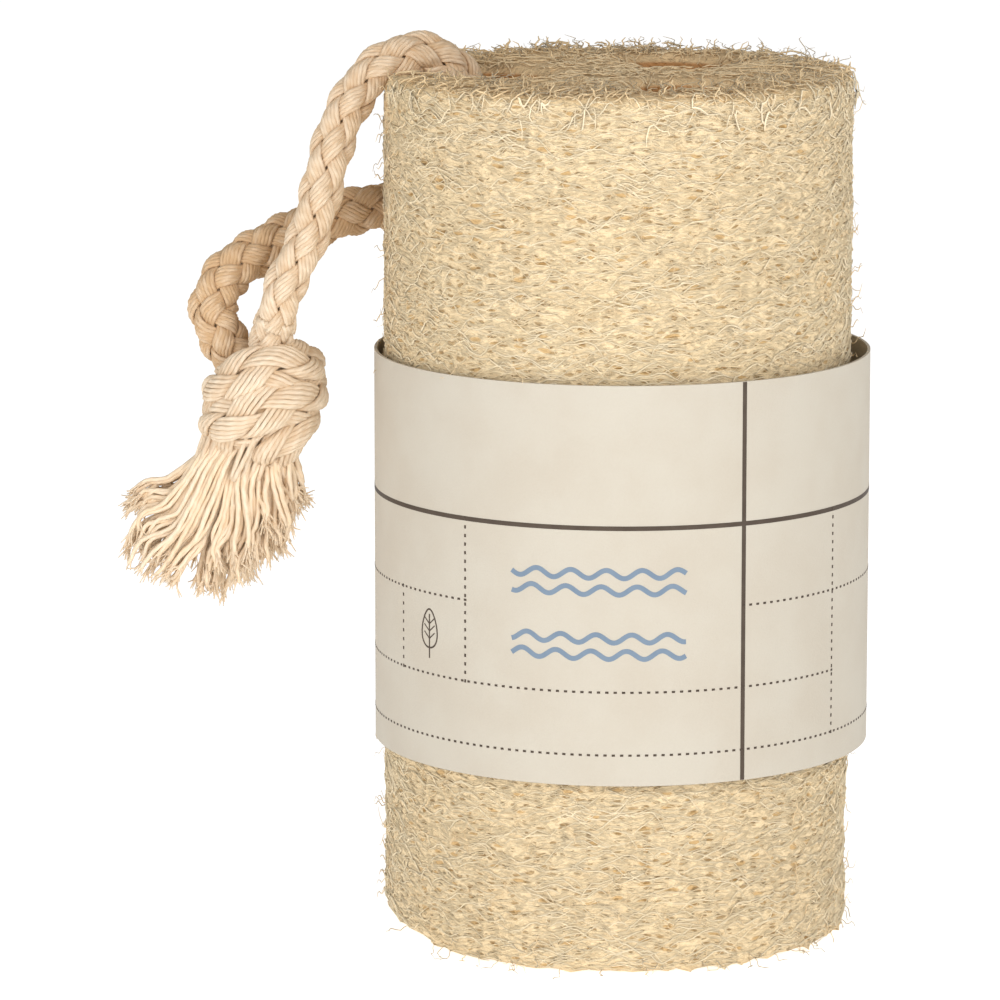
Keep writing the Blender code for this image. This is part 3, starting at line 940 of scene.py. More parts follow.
class FibreTree:
    """The tree that lays single fibres on the sponge."""

    name = "loofah_fibres"

    def group(self) -> bpy.types.NodeTree:
        """Fibres start at random points of a zone's faces, run along them and stand up where asked.

        Returns:
            The node tree.
        """
        tree = Tree.group(
            self.name, "GeometryNodeTree",
            {"Geometry": "NodeSocketGeometry", "Zone": 0, "Lowest": -1.0, "Highest": 1.0, "Outside": 0.0,
             "Points": 5, "Density": 100000.0, "Length": 0.008, "Length spread": 0.4, "Half width": 0.00016,
             "Slant": 0.5, "Bend": 1.0, "Wave": 0.0004, "Layer": 0.0005, "Loose": 0.0, "Stand": 0.0,
             "Lean": 0.3, "Grain axis": (0.0, 0.0, 1.0), "Seed": 0, "Clear of": "NodeSocketObject",
             "Clearance": 0.0050, "Parting": 0.0, "Radial": 0.0, "Material": "NodeSocketMaterial"},
            {"Geometry": "NodeSocketGeometry"})
        sponge = tree.given("Geometry")
        points = self.scattered(tree, sponge)
        line = tree.made("GeometryNodeCurvePrimitiveLine", {"Start": (-0.5, 0, 0), "End": (0.5, 0, 0)})
        line = tree.made("GeometryNodeResampleCurve", {"Curve": line, "Count": tree.given("Points")})
        share, _, _ = tree.parts(tree.made("GeometryNodeInputPosition"))
        line = tree.keep(line, "share", share)
        fibres = tree.made("GeometryNodeInstanceOnPoints", {"Points": points, "Instance": line})
        fibres = tree.made("GeometryNodeRealizeInstances", {"Geometry": fibres})
        laid = self.laid(tree, sponge)
        fibres = tree.made("GeometryNodeSetPosition", {"Geometry": fibres, "Position": laid})
        tone, width, _ = tree.parts(tree.stored("dice_c", "FLOAT_VECTOR"))
        _, layer, _ = tree.parts(tree.stored("dice_b", "FLOAT_VECTOR"))
        # Painted shade: half of a fibre's tone comes from how low it lies, so lower fibres are darker.
        tone = tone * 0.5 + layer * 0.5
        share = tree.stored("share")
        taper = 1.0 - tree.work("POWER", tree.work("ABSOLUTE", share * 2.0), 4.0) * 0.55
        thick = tree.given("Half width") * (0.65 + width * 0.7) * taper
        ring = tree.made("GeometryNodeCurvePrimitiveCircle", {"Resolution": 3, "Radius": 1.0})
        mesh = tree.made("GeometryNodeCurveToMesh",
                         {"Curve": tree.keep(fibres, "tone", tone), "Profile Curve": ring,
                          "Scale": thick, "Fill Caps": True})
        return tree.finished(mesh)

    def scattered(self, tree: Tree, sponge: Value) -> Value:
        """The starting points, with the surface's direction and random numbers stored on them.

        Args:
            tree: the tree of nodes.
            sponge: the web's mesh.

        Returns:
            The points.
        """
        x, y, z = tree.parts(tree.made("GeometryNodeInputPosition"))
        off = tree.work("ABSOLUTE", tree.stored("zone") - tree.given("Zone"))
        picked = tree.work("LESS_THAN", off, 0.5)
        picked = picked * tree.work("GREATER_THAN", z, tree.given("Lowest"))
        picked = picked * tree.work("LESS_THAN", z, tree.given("Highest"))
        picked = picked * tree.work("GREATER_THAN", tree.work("SQRT", x * x + y * y), tree.given("Outside"))
        spread = tree.add("GeometryNodeDistributePointsOnFaces",
                          {"Mesh": sponge, "Selection": picked, "Density": tree.given("Density"),
                           "Seed": tree.given("Seed")})
        points, out = (Value(tree, spread.outputs[name]) for name in ("Points", "Normal"))
        points = tree.keep(points, "out", out)
        points = tree.keep(points, "start", tree.made("GeometryNodeInputPosition"))
        for i, name in enumerate(("dice_a", "dice_b", "dice_c")):
            dice = tree.add("FunctionNodeRandomValue", {"Seed": tree.given("Seed") + 11.0 * (i + 1)},
                            data_type="FLOAT_VECTOR")
            points = tree.keep(points, name, Value(tree, dice.outputs[0]))
        rope = tree.made("GeometryNodeObjectInfo", {"Object": tree.given("Clear of")}, "Geometry")
        near = tree.add("GeometryNodeProximity", {0: rope})
        close = tree.work("LESS_THAN", Value(tree, near.outputs["Distance"]), tree.given("Clearance"))
        close = close * Value(tree, near.outputs["Is Valid"])
        return tree.made("GeometryNodeDeleteGeometry", {"Geometry": points, "Selection": close})

    def laid(self, tree: Tree, sponge: Value) -> Value:
        """Where each point of a fibre goes: on the surface if it lies, out from it if it stands.

        Args:
            tree: the tree of nodes.
            sponge: the web's mesh.

        Returns:
            The places.
        """
        share = tree.stored("share")
        start, out = tree.stored("start", "FLOAT_VECTOR"), tree.stored("out", "FLOAT_VECTOR")
        longer, slant_a, bend = tree.parts(tree.stored("dice_a", "FLOAT_VECTOR"))
        slant_b, layer, phase = tree.parts(tree.stored("dice_b", "FLOAT_VECTOR"))
        _, _, rise = tree.parts(tree.stored("dice_c", "FLOAT_VECTOR"))
        length = tree.given("Length") * (1.0 + tree.given("Length spread") * (longer * 2.0 - 1.0))
        across = tree.work("NORMALIZE", tree.work("CROSS_PRODUCT", tree.given("Grain axis"), out))
        start_x, start_y, _ = tree.parts(start)
        spoke = tree.work("NORMALIZE", tree.joined(start_x, start_y, 0.0))
        across = tree.work("NORMALIZE", tree.mix(tree.given("Radial"), across, spoke))
        up = tree.work("CROSS_PRODUCT", out, across)
        heading = tree.given("Slant") * (slant_a + slant_b - 1.0)
        heading = heading + tree.given("Bend") * (bend * 2.0 - 1.0) * share * 0.5
        step = share * length
        wave = tree.work("SINE", share * (6.0 + longer * 5.0) + phase * TAU) * tree.given("Wave")
        flat = start + across * (tree.work("COSINE", heading) * step)
        flat = flat + up * (tree.work("SINE", heading) * step + wave)
        flat = tree.mix(tree.given("Parting"), flat, PITS.parted(tree, HOLES.parted(tree, flat)))
        near = tree.made("GeometryNodeProximity", {0: sponge, "Sample Position": flat}, "Position")
        normal = tree.made("GeometryNodeInputNormal")
        facing = tree.made("GeometryNodeSampleNearestSurface",
                           {"Mesh": sponge, "Value": normal, "Sample Position": flat},
                           data_type="FLOAT_VECTOR")
        tip = share + 0.5
        loose = tree.work("POWER", rise, 4.0) * tip * tip * length * tree.given("Loose")
        lying = near + facing * (tree.given("Layer") * layer + wave * 0.2 + loose)
        lean = across * ((slant_a - 0.5) * 2.0 * tree.given("Lean"))
        lean = lean + up * ((slant_b - 0.5) * 2.0 * tree.given("Lean"))
        curl = across * (bend - 0.5) + up * (phase - 0.5)
        curl = curl * (tip * tip * length * tree.given("Bend"))
        swirl = tip * (7.0 + longer * 6.0) + phase * TAU
        swirl = across * tree.work("SINE", swirl) + up * tree.work("COSINE", swirl)
        standing = start + (out + lean) * (tip * length) + curl + swirl * (tip * tree.given("Wave"))
        x, y, z = tree.parts(tree.mix(tree.given("Stand"), lying, standing))
        return tree.joined(x, y, tree.work("MAXIMUM", z, tree.given("Half width")))


class YarnTree:
    """The tree that sweeps a round yarn along every line of a mesh of edges."""

    name = "yarn_sweep"

    def group(self) -> bpy.types.NodeTree:
        """Lines become tubes of the thickness that is stored on their points.

        Returns:
            The node tree.
        """
        tree = Tree.group(self.name, "GeometryNodeTree",
                          {"Geometry": "NodeSocketGeometry", "Sides": YARN_SIDES,
                           "Material": "NodeSocketMaterial"},
                          {"Geometry": "NodeSocketGeometry"})
        lines = tree.made("GeometryNodeMeshToCurve", {"Mesh": tree.given("Geometry")})
        lines = tree.keep(lines, "along", tree.made("GeometryNodeSplineParameter", out="Length"))
        ring = tree.made("GeometryNodeCurvePrimitiveCircle",
                         {"Resolution": tree.given("Sides"), "Radius": 1.0})
        ring = tree.keep(ring, "ring", tree.made("GeometryNodeInputPosition"))
        mesh = tree.made("GeometryNodeCurveToMesh",
                         {"Curve": lines, "Profile Curve": ring, "Scale": tree.stored("thickness"),
                          "Fill Caps": True})
        return tree.finished(mesh)


@dataclass
class Lines:
    """Lines to be swept: the points of each, with a thickness, a tone and a depth in the weave, which the
    cotton paints as shade.
    """

    points: list
    sizes: list
    tones: list
    lows: list

    @classmethod
    def none(cls) -> "Lines":
        """No lines yet."""
        return cls([], [], [], [])

    def add(self, points: np.ndarray, thickness: np.ndarray | float, tone: float,
            low: np.ndarray | float = 0.0) -> None:
        """Adds one line.

        Args:
            points: its points.
            thickness: its radius, at every point or in all.
            tone: its share of the light colour.
            low: how deep it lies in the weave, from 0 to 1, which the cotton paints darker as shade.
        """
        count = len(points)
        self.points.append(np.asarray(points, float))
        self.sizes.append(np.broadcast_to(thickness, count))
        self.tones.append(np.full(count, tone))
        self.lows.append(np.broadcast_to(low, count))

    def swept(self, tree: bpy.types.NodeTree, name: str, cotton: bpy.types.Material) -> bpy.types.Object:
        """The piece that the yarn tree makes of the lines."""
        guides = self.mesh(name + "_lines")
        return made_by(tree, name, guides, YARN_MARKS, Material=cotton, Sides=YARN_SIDES)

    def mesh(self, name: str) -> bpy.types.Mesh:
        """A mesh of edges with the numbers stored on its points.

        Args:
            name: the mesh's name.

        Returns:
            The mesh.
        """
        mesh = bpy.data.meshes.new(name)
        edges, first = [], 0
        for points in self.points:
            last = first + len(points) - 1
            edges += [(i, i + 1) for i in range(first, last)]
            first = last + 1
        mesh.from_pydata(np.concatenate(self.points).tolist(), edges, [])
        for title, values in (("thickness", self.sizes), ("tone", self.tones), ("low", self.lows)):
            attribute = mesh.attributes.new(title, "FLOAT", "POINT")
            attribute.data.foreach_set("value", np.concatenate(values).astype(np.float32))
        return mesh


@dataclass
class SpongeBody:
    """The grown web of fibres, cut to length, with its three seed channels."""

    node: str = "loofah_sponge"
    slot: str = "loofah_fibre"
    voxel: float = 0.0015
    inset: float = 0.0004
    pit_keep: float = 0.2
    wall_depth: float = 0.0042
    top_depth: float = 0.0025
    rim: float = 0.001
    weld: float = 0.000001
    lumps: float = 0.00022
    wall_inside: float = 0.0345
    flat_on: float = 0.6
    end_depth: float = 0.004
    seed: int = 21

    def base_mesh(self) -> bpy.types.Mesh:
        """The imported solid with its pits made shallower, remeshed evenly and roughened.

        Returns:
            The mesh, with the zone of each face stored on it.
        """
        low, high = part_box(self.node)
        bm = bmesh.new()
        bm.from_mesh(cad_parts[self.node].data)
        bmesh.ops.remove_doubles(bm, verts=bm.verts, dist=self.weld)
        outer = (high.x - low.x) / 2
        for vert in bm.verts:
            radius = math.hypot(vert.co.x, vert.co.y)
            if radius > outer - self.wall_depth and vert.co.z < high.z - self.rim:
                wanted = outer - self.inset - (outer - radius) * self.pit_keep
                vert.co.x *= wanted / radius
                vert.co.y *= wanted / radius
            if vert.co.z > high.z - self.top_depth:
                vert.co.z = high.z - self.inset - (high.z - vert.co.z) * self.pit_keep
        shaper = plain_object("sponge_shaper", mesh_of(bm, "sponge_web"))
        remesh = shaper.modifiers.new("even", "REMESH")
        remesh.mode = "VOXEL"
        remesh.voxel_size = self.voxel
        web = seen_mesh(shaper)
        bpy.data.objects.remove(shaper, do_unlink=True)
        self.roughen(web)
        self.mark_zones(web)
        return web

    def roughen(self, mesh: bpy.types.Mesh) -> None:
        """Moves the points along their normals by a seeded random amount, kept above the foot.

        Args:
            mesh: the web.
        """
        rng = np.random.default_rng(self.seed)
        count = len(mesh.vertices)
        points = np.zeros(count * 3)
        normals = np.zeros(count * 3)
        mesh.vertices.foreach_get("co", points)
        mesh.vertices.foreach_get("normal", normals)
        points, normals = points.reshape(-1, 3), normals.reshape(-1, 3)
        points += normals * rng.normal(0, self.lumps / 2, (count, 1)).clip(-self.lumps, self.lumps)
        points[:, 2] = points[:, 2].clip(0, None)
        mesh.vertices.foreach_set("co", points.ravel())
        mesh.shade_smooth()

    def mark_zones(self, mesh: bpy.types.Mesh) -> None:
        """Stores the zone of each face.

        Args:
            mesh: the web.
        """
        top = max(vert.co.z for vert in mesh.vertices)
        zones = mesh.attributes.new("zone", "FLOAT", "FACE")
        for face, mark in zip(mesh.polygons, zones.data):
            middle, normal = face.center, face.normal
            outward = middle.x * normal.x + middle.y * normal.y > 0
            if normal.z > self.flat_on and middle.z > top - self.end_depth:
                zone = Zone.TOP
            elif normal.z < -self.flat_on and middle.z < self.end_depth:
                zone = Zone.FOOT
            elif math.hypot(middle.x, middle.y) > self.wall_inside and outward:
                zone = Zone.WALL
            else:
                zone = Zone.CHANNEL
            mark.value = zone.value

    def build(self) -> bpy.types.Mesh:
        """Puts the web on the body.

        Returns:
            The mesh that the fibres lie on.
        """
        web = self.base_mesh()
        shown = web.copy()
        shown.attributes.remove(shown.attributes["zone"])
        piece = plain_object("sponge_web", shown)
        shown.materials.clear()
        shown.materials.append(WebFinish().material())
        rode(piece, self.slot, self.node)
        return web


@dataclass
class Fleece:
    """One layer of fibres on the sponge, given to the fibre tree."""

    name: str
    finish: bpy.types.Material
    inputs: dict

    def build(self, tree: bpy.types.NodeTree, web: bpy.types.Mesh, rope: bpy.types.Object) -> None:
        """Lays the fibres and puts them on the body."""
        piece = made_by(tree, self.name, web, ("tone",), Material=self.finish, Clear_of=rope, **self.inputs)
        rode(piece, SpongeBody.slot)


@dataclass
class Braid:
    """Round braid of eight flat strands: four turn one way and four the other, over and under."""

    each_way: int = 4
    yarns: int = 6
    yarn_radius: float = 0.00045
    yarn_gap: float = 0.00062
    middle_radius: float = 0.00300
    swing: float = 0.00082
    crown: float = 0.00028
    core: float = 0.0024
    # How painted shade grows along a run: where it starts, and how much it eases at the very end.
    shade_start: float = 0.12
    shade_relief: float = 0.4
    step: float = 0.0007

    def frames(self, points: np.ndarray, round_about: Sequence[float] | None
               ) -> tuple[np.ndarray, np.ndarray, np.ndarray]:
        """Two directions across the route at each point, and the length travelled to it.

        Args:
            points: the route.
            round_about: the middle that the route is wound round, or None for a hanging rope.

        Returns:
            The wide direction, the deep direction and the length.
        """
        tangent = np.gradient(points, axis=0)
        tangent /= np.linalg.norm(tangent, axis=1, keepdims=True)
        travelled = np.concatenate([[0], np.cumsum(np.linalg.norm(np.diff(points, axis=0), axis=1))])
        if round_about is not None:
            deep = points - np.array(round_about)
            deep -= tangent * (deep * tangent).sum(axis=1, keepdims=True)
            deep /= np.linalg.norm(deep, axis=1, keepdims=True)
            return np.cross(deep, tangent), deep, travelled
        wide = np.cross(tangent, (0.0, 1.0, 0.0))
        for i in range(len(wide)):
            if np.linalg.norm(wide[i]) < 0.25:
                wide[i] = wide[i - 1] if i else np.cross(tangent[i], (1.0, 0.0, 0.0))
            wide[i] -= tangent[i] * wide[i].dot(tangent[i])
            wide[i] /= np.linalg.norm(wide[i])
            if i and wide[i].dot(wide[i - 1]) < 0:
                wide[i] *= -1
        return wide, np.cross(tangent, wide), travelled

    def lay(self, lines: Lines, points: Sequence[Vector], scale: float, pitches: tuple[float, float],
            widths: tuple[float, float], depths: tuple[float, float], rng: random.Random,
            start_turn: float = 0.0, round_about: Sequence[float] | None = None, painted_shade: float = 0.0) -> None:
        """Adds the yarns of one run of braid.

        Args:
            lines: where the yarns are added.
            points: the run's middle line.
            scale: the run's size, 1 for the rope.
            pitches: the length of a strand's full turn at the start and at the end.
            widths: how the section is stretched across, as the camera sees it, at the start and the end.
            depths: the same the other way.
            rng: the random numbers.
            start_turn: the braid's turn at the start.
            round_about: the middle that a knot's turn is wound round.
            painted_shade: how much painted shade darkens the run, most of all a little before its end.
        """
        points = as_array(points)
        wide, deep, travelled = self.frames(points, round_about)
        share = travelled / travelled[-1]
        ease = share * share * (3 - 2 * share)
        pitch = pitches[0] + (pitches[1] - pitches[0]) * ease
        turn = start_turn + np.concatenate([[0], np.cumsum(TAU / pitch[1:] * np.diff(travelled))])
        width = (widths[0] + (widths[1] - widths[0]) * ease)[:, None]
        depth = (depths[0] + (depths[1] - depths[0]) * ease)[:, None]
        n = self.each_way
        for way in (1, -1):
            for strand in range(n):
                for yarn in range(self.yarns):
                    off = yarn - (self.yarns - 1) / 2
                    slip = off * self.yarn_gap / self.middle_radius
                    place = way * turn + TAU * strand / n + slip
                    phase = n * turn + way * n * slip / 2
                    radius = self.middle_radius + way * self.swing * np.cos(phase)
                    radius = radius - self.crown * (2 * off / (self.yarns - 1)) ** 2
                    radius = (radius * scale)[:, None]
                    across = wide * np.cos(place)[:, None] * width + deep * np.sin(place)[:, None] * depth
                    # Painted shade: a yarn is painted darker where it passes under the crossing strands.
                    low = (1 - way * np.cos(phase)) / 2
                    # Painted shade along the run, for the loop's back leg.
                    low = low + (self.shade_start + ease - self.shade_relief * share ** 8) * painted_shade
                    lines.add(points + across * radius, self.yarn_radius * scale, rng.random(), low)
        # A core line in full painted shade fills the braid's middle.
        lines.add(points, self.core * scale * min(widths + depths), tone=0.3, low=1.0)


@dataclass
class RopeLoop:
    """The braided loop, from the knot over the rim and back to the knot."""

    node: str = "rope_loop"
    slot: str = "cotton_rope"
    pitches: tuple = (0.034, 0.024)
    widths: tuple = (0.90, 1.08)
    depths: tuple = (0.98, 0.92)
    # Painted shade that darkens the loop's back leg behind the sponge, most of all a little before the knot.
    painted_shade: float = 1.25
    seed: int = 3

    def build(self, yarn_tree: bpy.types.NodeTree, cotton: bpy.types.Material) -> bpy.types.Object:
        """Sweeps the yarns along the rope's route.

        Args:
            yarn_tree: the tree that sweeps yarns.
            cotton: the yarns' material.

        Returns:
            The piece.
        """
        braid, lines = Braid(), Lines.none()
        braid.lay(lines, smooth_route(ROPE_ROUTE, braid.step), 1.0, self.pitches, self.widths,
                  self.depths, random.Random(self.seed), painted_shade=self.painted_shade)
        return rode(lines.swept(yarn_tree, "rope_braid", cotton), self.slot, self.node)

    def declare(self, piece: bpy.types.Object, knot: bpy.types.Object, tassel: bpy.types.Object) -> None:
        """Works out the length of the loop's route, and keeps nothing of it.

        Args:
            piece: the loop's piece; not used.
            knot: the knot's piece; not used.
            tassel: the tassel's piece; not used.
        """
        path = smooth_route(ROPE_ROUTE, ROPE_POINT_SPACING)
        length = sum((b - a).length for a, b in zip(path, path[1:]))
        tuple(ROPE_ROUTE[0])


@dataclass
class RopeKnot:
    """The knot that holds both ends of the loop."""

    node: str = "rope_knot"
    slot: str = "cotton_rope"
    full_radius: float = 0.00425
    middle: tuple = (-0.0615, -0.0002, 0.0925)
    step: float = 0.0009
    leg_pitches: tuple = (0.034, 0.034)
    leg_widths: tuple = (0.92, 0.92)
    leg_depths: tuple = (0.96, 0.9)
    wrap_pitches: tuple = (0.044, 0.044)
    wrap_widths: tuple = (1.20, 1.20)
    wrap_depths: tuple = (0.84, 0.84)
    end_slimness: float = 0.92
    end_yarns: int = 40
    yarn_radius: float = 0.00048
    lean: float = 0.5
    seed: int = 5

    def build(self, yarn_tree: bpy.types.NodeTree, cotton: bpy.types.Material) -> bpy.types.Object:
        """Flattened braided turns, and the loosened ends that leave them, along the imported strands.

        Args:
            yarn_tree: the tree that sweeps yarns.
            cotton: the yarns' material.

        Returns:
            The piece.
        """
        rng, lines = random.Random(self.seed), Lines.none()
        braid = Braid(step=self.step)
        for kind, radius, places in KNOT_STRANDS:
            route = smooth_route(places, braid.step)
            scale = radius / self.full_radius
            if kind is Turn.LEG:
                braid.lay(lines, route, scale, self.leg_pitches, self.leg_widths, self.leg_depths, rng,
                          rng.uniform(0, TAU))
            elif kind is Turn.WRAP:
                braid.lay(lines, route, scale, self.wrap_pitches, self.wrap_widths, self.wrap_depths, rng,
                          rng.uniform(0, TAU), self.middle)
            else:
                self.loosen(lines, route, radius * self.end_slimness, rng)
        return rode(lines.swept(yarn_tree, "rope_knot_braid", cotton), self.slot, self.node)

    def loosen(self, lines: Lines, route: Sequence[Vector], radius: float, rng: random.Random) -> None:
        """Adds the yarns of an unbraided end, which run side by side.

        Args:
            lines: where the yarns are added.
            route: the end's middle line.
            radius: the end's radius.
            rng: the random numbers.
        """
        down = as_array(route)
        wide, deep, _ = Braid().frames(down, None)
        for i in range(self.end_yarns):
            reach = radius * math.sqrt((i + 0.5) / self.end_yarns)
            turn = i * GOLDEN_TURN
            lean = np.linspace(0, rng.uniform(-self.lean, self.lean), len(down))[:, None]
            across = wide * np.cos(turn + lean) + deep * np.sin(turn + lean)
            # Painted shade: yarns nearer the middle of the end are painted darker.
            lines.add(down + across * reach, self.yarn_radius, rng.random(), (1 - reach / radius) * 0.7)


@dataclass
class Tassel:
    """The loose yarns below the knot, in locks that spread and fray, and two short locks beside them."""

    node: str = "rope_tassel"
    slot: str = "cotton_yarn"
    inside_knot: tuple = (-0.0618, -0.0040, 0.0880)
    side_locks: tuple = (((-0.0592, -0.0022, 0.0902), (-0.0568, -0.0046, 0.0738)),
                         ((-0.0606, -0.0026, 0.0900), (-0.0594, -0.0078, 0.0700)))
    yarns_per_lock: int = 30
    hairs_per_yarn: int = 4
    yarn_radius: float = 0.00050
    core: float = 0.0022
    core_reach: float = 0.86
    lock_root: float = 0.0025
    lock_tip: float = 0.0028
    lean_reach: tuple = (0.011, 0.006)
    held_spread: float = 0.8
    side_start: float = 0.32
    sag: float = 0.0024
    bulge: float = 0.0008
    curls: tuple = (0.0012, 0.0008)
    ragged: float = 0.0008
    shortest: float = 0.78
    sway: float = 0.0008
    hair_radii: tuple = (0.00020, 0.00016, 0.00008)
    hair_spreads: tuple = (0.00012, 0.00035, 0.0008)
    hair_roots: tuple = (0.0006, 0.0018)
    hair_lengths: tuple = (0.0005, 0.0016)
    hair_droop: float = 0.0004
    step: float = 0.0011
    seed: int = 9

    def lock(self, lines: Lines, held: Vector, root: Vector, end: Vector, rng: random.Random) -> None:
        """Adds one lock of yarns.

        Args:
            lines: where the yarns are added.
            held: the middle of the lock where the knot holds it.
            root: the middle of the lock where it leaves the knot.
            end: where the lock ends.
            rng: the random numbers.
        """
        down = (end - root).normalized()
        side = Vector((0, 1, 0)).cross(down).normalized()
        front = down.cross(side)
        sag = Vector((0, 0, -self.sag))
        curl = rng.uniform(-1, 1)
        heart = as_array(smooth_route((held, root, root.lerp(end, 0.45) + sag, end), self.step))
        heart = heart[:int(len(heart) * self.core_reach)]
        # A core line with a little painted shade fills the lock's middle.
        lines.add(heart, self.core * (1 - 0.5 * np.linspace(0, 1, len(heart)) ** 3), tone=0.4, low=0.1)
        for i in range(self.yarns_per_lock):
            share, turn = math.sqrt((i + 0.5) / self.yarns_per_lock), i * GOLDEN_TURN
            flat = side * math.cos(turn) * share + front * math.sin(turn) * share
            stray = Vector([rng.gauss(0, self.ragged) for _ in range(3)])
            start = root + flat * self.lock_root
            tip = start.lerp(end + flat * self.lock_tip + stray, rng.uniform(self.shortest, 1.0))
            tip += side * curl * self.curls[0]
            bulge = start.lerp(tip, 0.45) + sag + flat * self.bulge + stray * 0.2
            near_tip = start.lerp(tip, 0.8) + stray * 0.3 - side * curl * self.curls[1]
            places = (held + flat * self.lock_root * self.held_spread, start, bulge, near_tip, tip)
            points = as_array(smooth_route(places, self.step))
            ends = np.linspace(0, 1, len(points))
            for bends in (rng.uniform(6, 11), rng.uniform(14, 24)):
                swing = np.sin(ends * bends + rng.uniform(0, TAU)) * self.sway * ends * (7 / bends)
                way = rng.uniform(0, TAU)
                points += swing[:, None] * np.array([math.cos(way), math.sin(way), 0.3])
            tone = rng.random()
            # Painted shade: yarns nearer the middle of the lock are painted darker.
            lines.add(points, self.yarn_radius * (1 - 0.25 * ends ** 6), tone, (1 - share) * 0.2)
            self.fray(lines, points, tone, rng)

    def fray(self, lines: Lines, yarn: np.ndarray, tone: float, rng: random.Random) -> None:
        """Adds the loose hairs that spread from a yarn's cut end.

        Args:
            lines: where the hairs are added.
            yarn: the yarn's points.
            tone: the yarn's tone.
            rng: the random numbers.
        """
        tip, way = yarn[-1], yarn[-1] - yarn[-3]
        way /= np.linalg.norm(way)
        for _ in range(self.hairs_per_yarn):
            spread = np.array([rng.gauss(0, 1) for _ in range(3)])
            spread -= way * spread.dot(way)
            root = tip - way * rng.uniform(*self.hair_roots) + spread * self.hair_spreads[0]
            middle = tip + spread * self.hair_spreads[1]
            end = tip + way * rng.uniform(*self.hair_lengths) + spread * self.hair_spreads[2]
            end[2] -= rng.uniform(0, self.hair_droop)
            lines.add(np.array([root, middle, end]), np.array(self.hair_radii), tone)

    def build(self, yarn_tree: bpy.types.NodeTree, cotton: bpy.types.Material) -> bpy.types.Object:
        """Yarns from inside the knot to the ends of the locks.

        Args:
            yarn_tree: the tree that sweeps yarns.
            cotton: the yarns' material.

        Returns:
            The piece.
        """
        rng, lines = random.Random(self.seed), Lines.none()
        root, down = Vector(TASSEL_ROOT), Vector(TASSEL_AXIS).normalized()
        side = Vector((0, 1, 0)).cross(down).normalized()
        front = down.cross(side)
        wide, deep = TASSEL_ROOT_RADII
        wide_reach, deep_reach = self.lean_reach
        for end in LOCK_ENDS:
            lean = Vector(end) - root
            start = root + side * max(-1, min(1, lean.dot(side) / wide_reach)) * (wide - self.lock_root)
            start += front * max(-1, min(1, lean.dot(front) / deep_reach)) * (deep - self.lock_root)
            held = Vector(self.inside_knot) + (start - root) * self.held_spread
            self.lock(lines, held, start, Vector(end), rng)
        for held, end in self.side_locks:
            held, end = Vector(held), Vector(end)
            self.lock(lines, held, held.lerp(end, self.side_start), end, rng)
        return rode(lines.swept(yarn_tree, "rope_tassel_yarns", cotton), self.slot, self.node)


class DotTree:
    """The tree that prints a row of dots along every line of a mesh of edges on the band."""

    name = "band_dots"

    def group(self) -> bpy.types.NodeTree:
        """Flat dots at an even pitch, turned to the line and to the band's face.

        Returns:
            The node tree.
        """
        tree = Tree.group(self.name, "GeometryNodeTree",
                          {"Geometry": "NodeSocketGeometry", "Pitch": 0.0014, "Length": 0.00055,
                           "Width": 0.00036, "Height": 0.00008, "Middle": (0.0, 0.0, 0.0),
                           "Material": "NodeSocketMaterial"},
                          {"Geometry": "NodeSocketGeometry"})
        lines = tree.made("GeometryNodeMeshToCurve", {"Mesh": tree.given("Geometry")})
        places = tree.add("GeometryNodeCurveToPoints", {"Curve": lines, "Length": tree.given("Pitch")},
                          mode="LENGTH")
        x, y, _ = tree.parts(tree.made("GeometryNodeInputPosition") - tree.given("Middle"))
        facing = tree.work("NORMALIZE", tree.joined(x, y, 0.0))
        turned = tree.made("FunctionNodeAlignRotationToVector", {"Vector": facing}, axis="Z")
        turned = tree.made("FunctionNodeAlignRotationToVector",
                           {"Rotation": turned, "Vector": Value(tree, places.outputs["Tangent"])},
                           axis="X", pivot_axis="Z")
        size = tree.joined(tree.given("Length"), tree.given("Width"), tree.given("Height"))
        dot = tree.made("GeometryNodeMeshCube", {"Size": size})
        dots = tree.made("GeometryNodeInstanceOnPoints",
                         {"Points": Value(tree, places.outputs["Points"]), "Instance": dot,
                          "Rotation": turned})
        return tree.finished(dots)


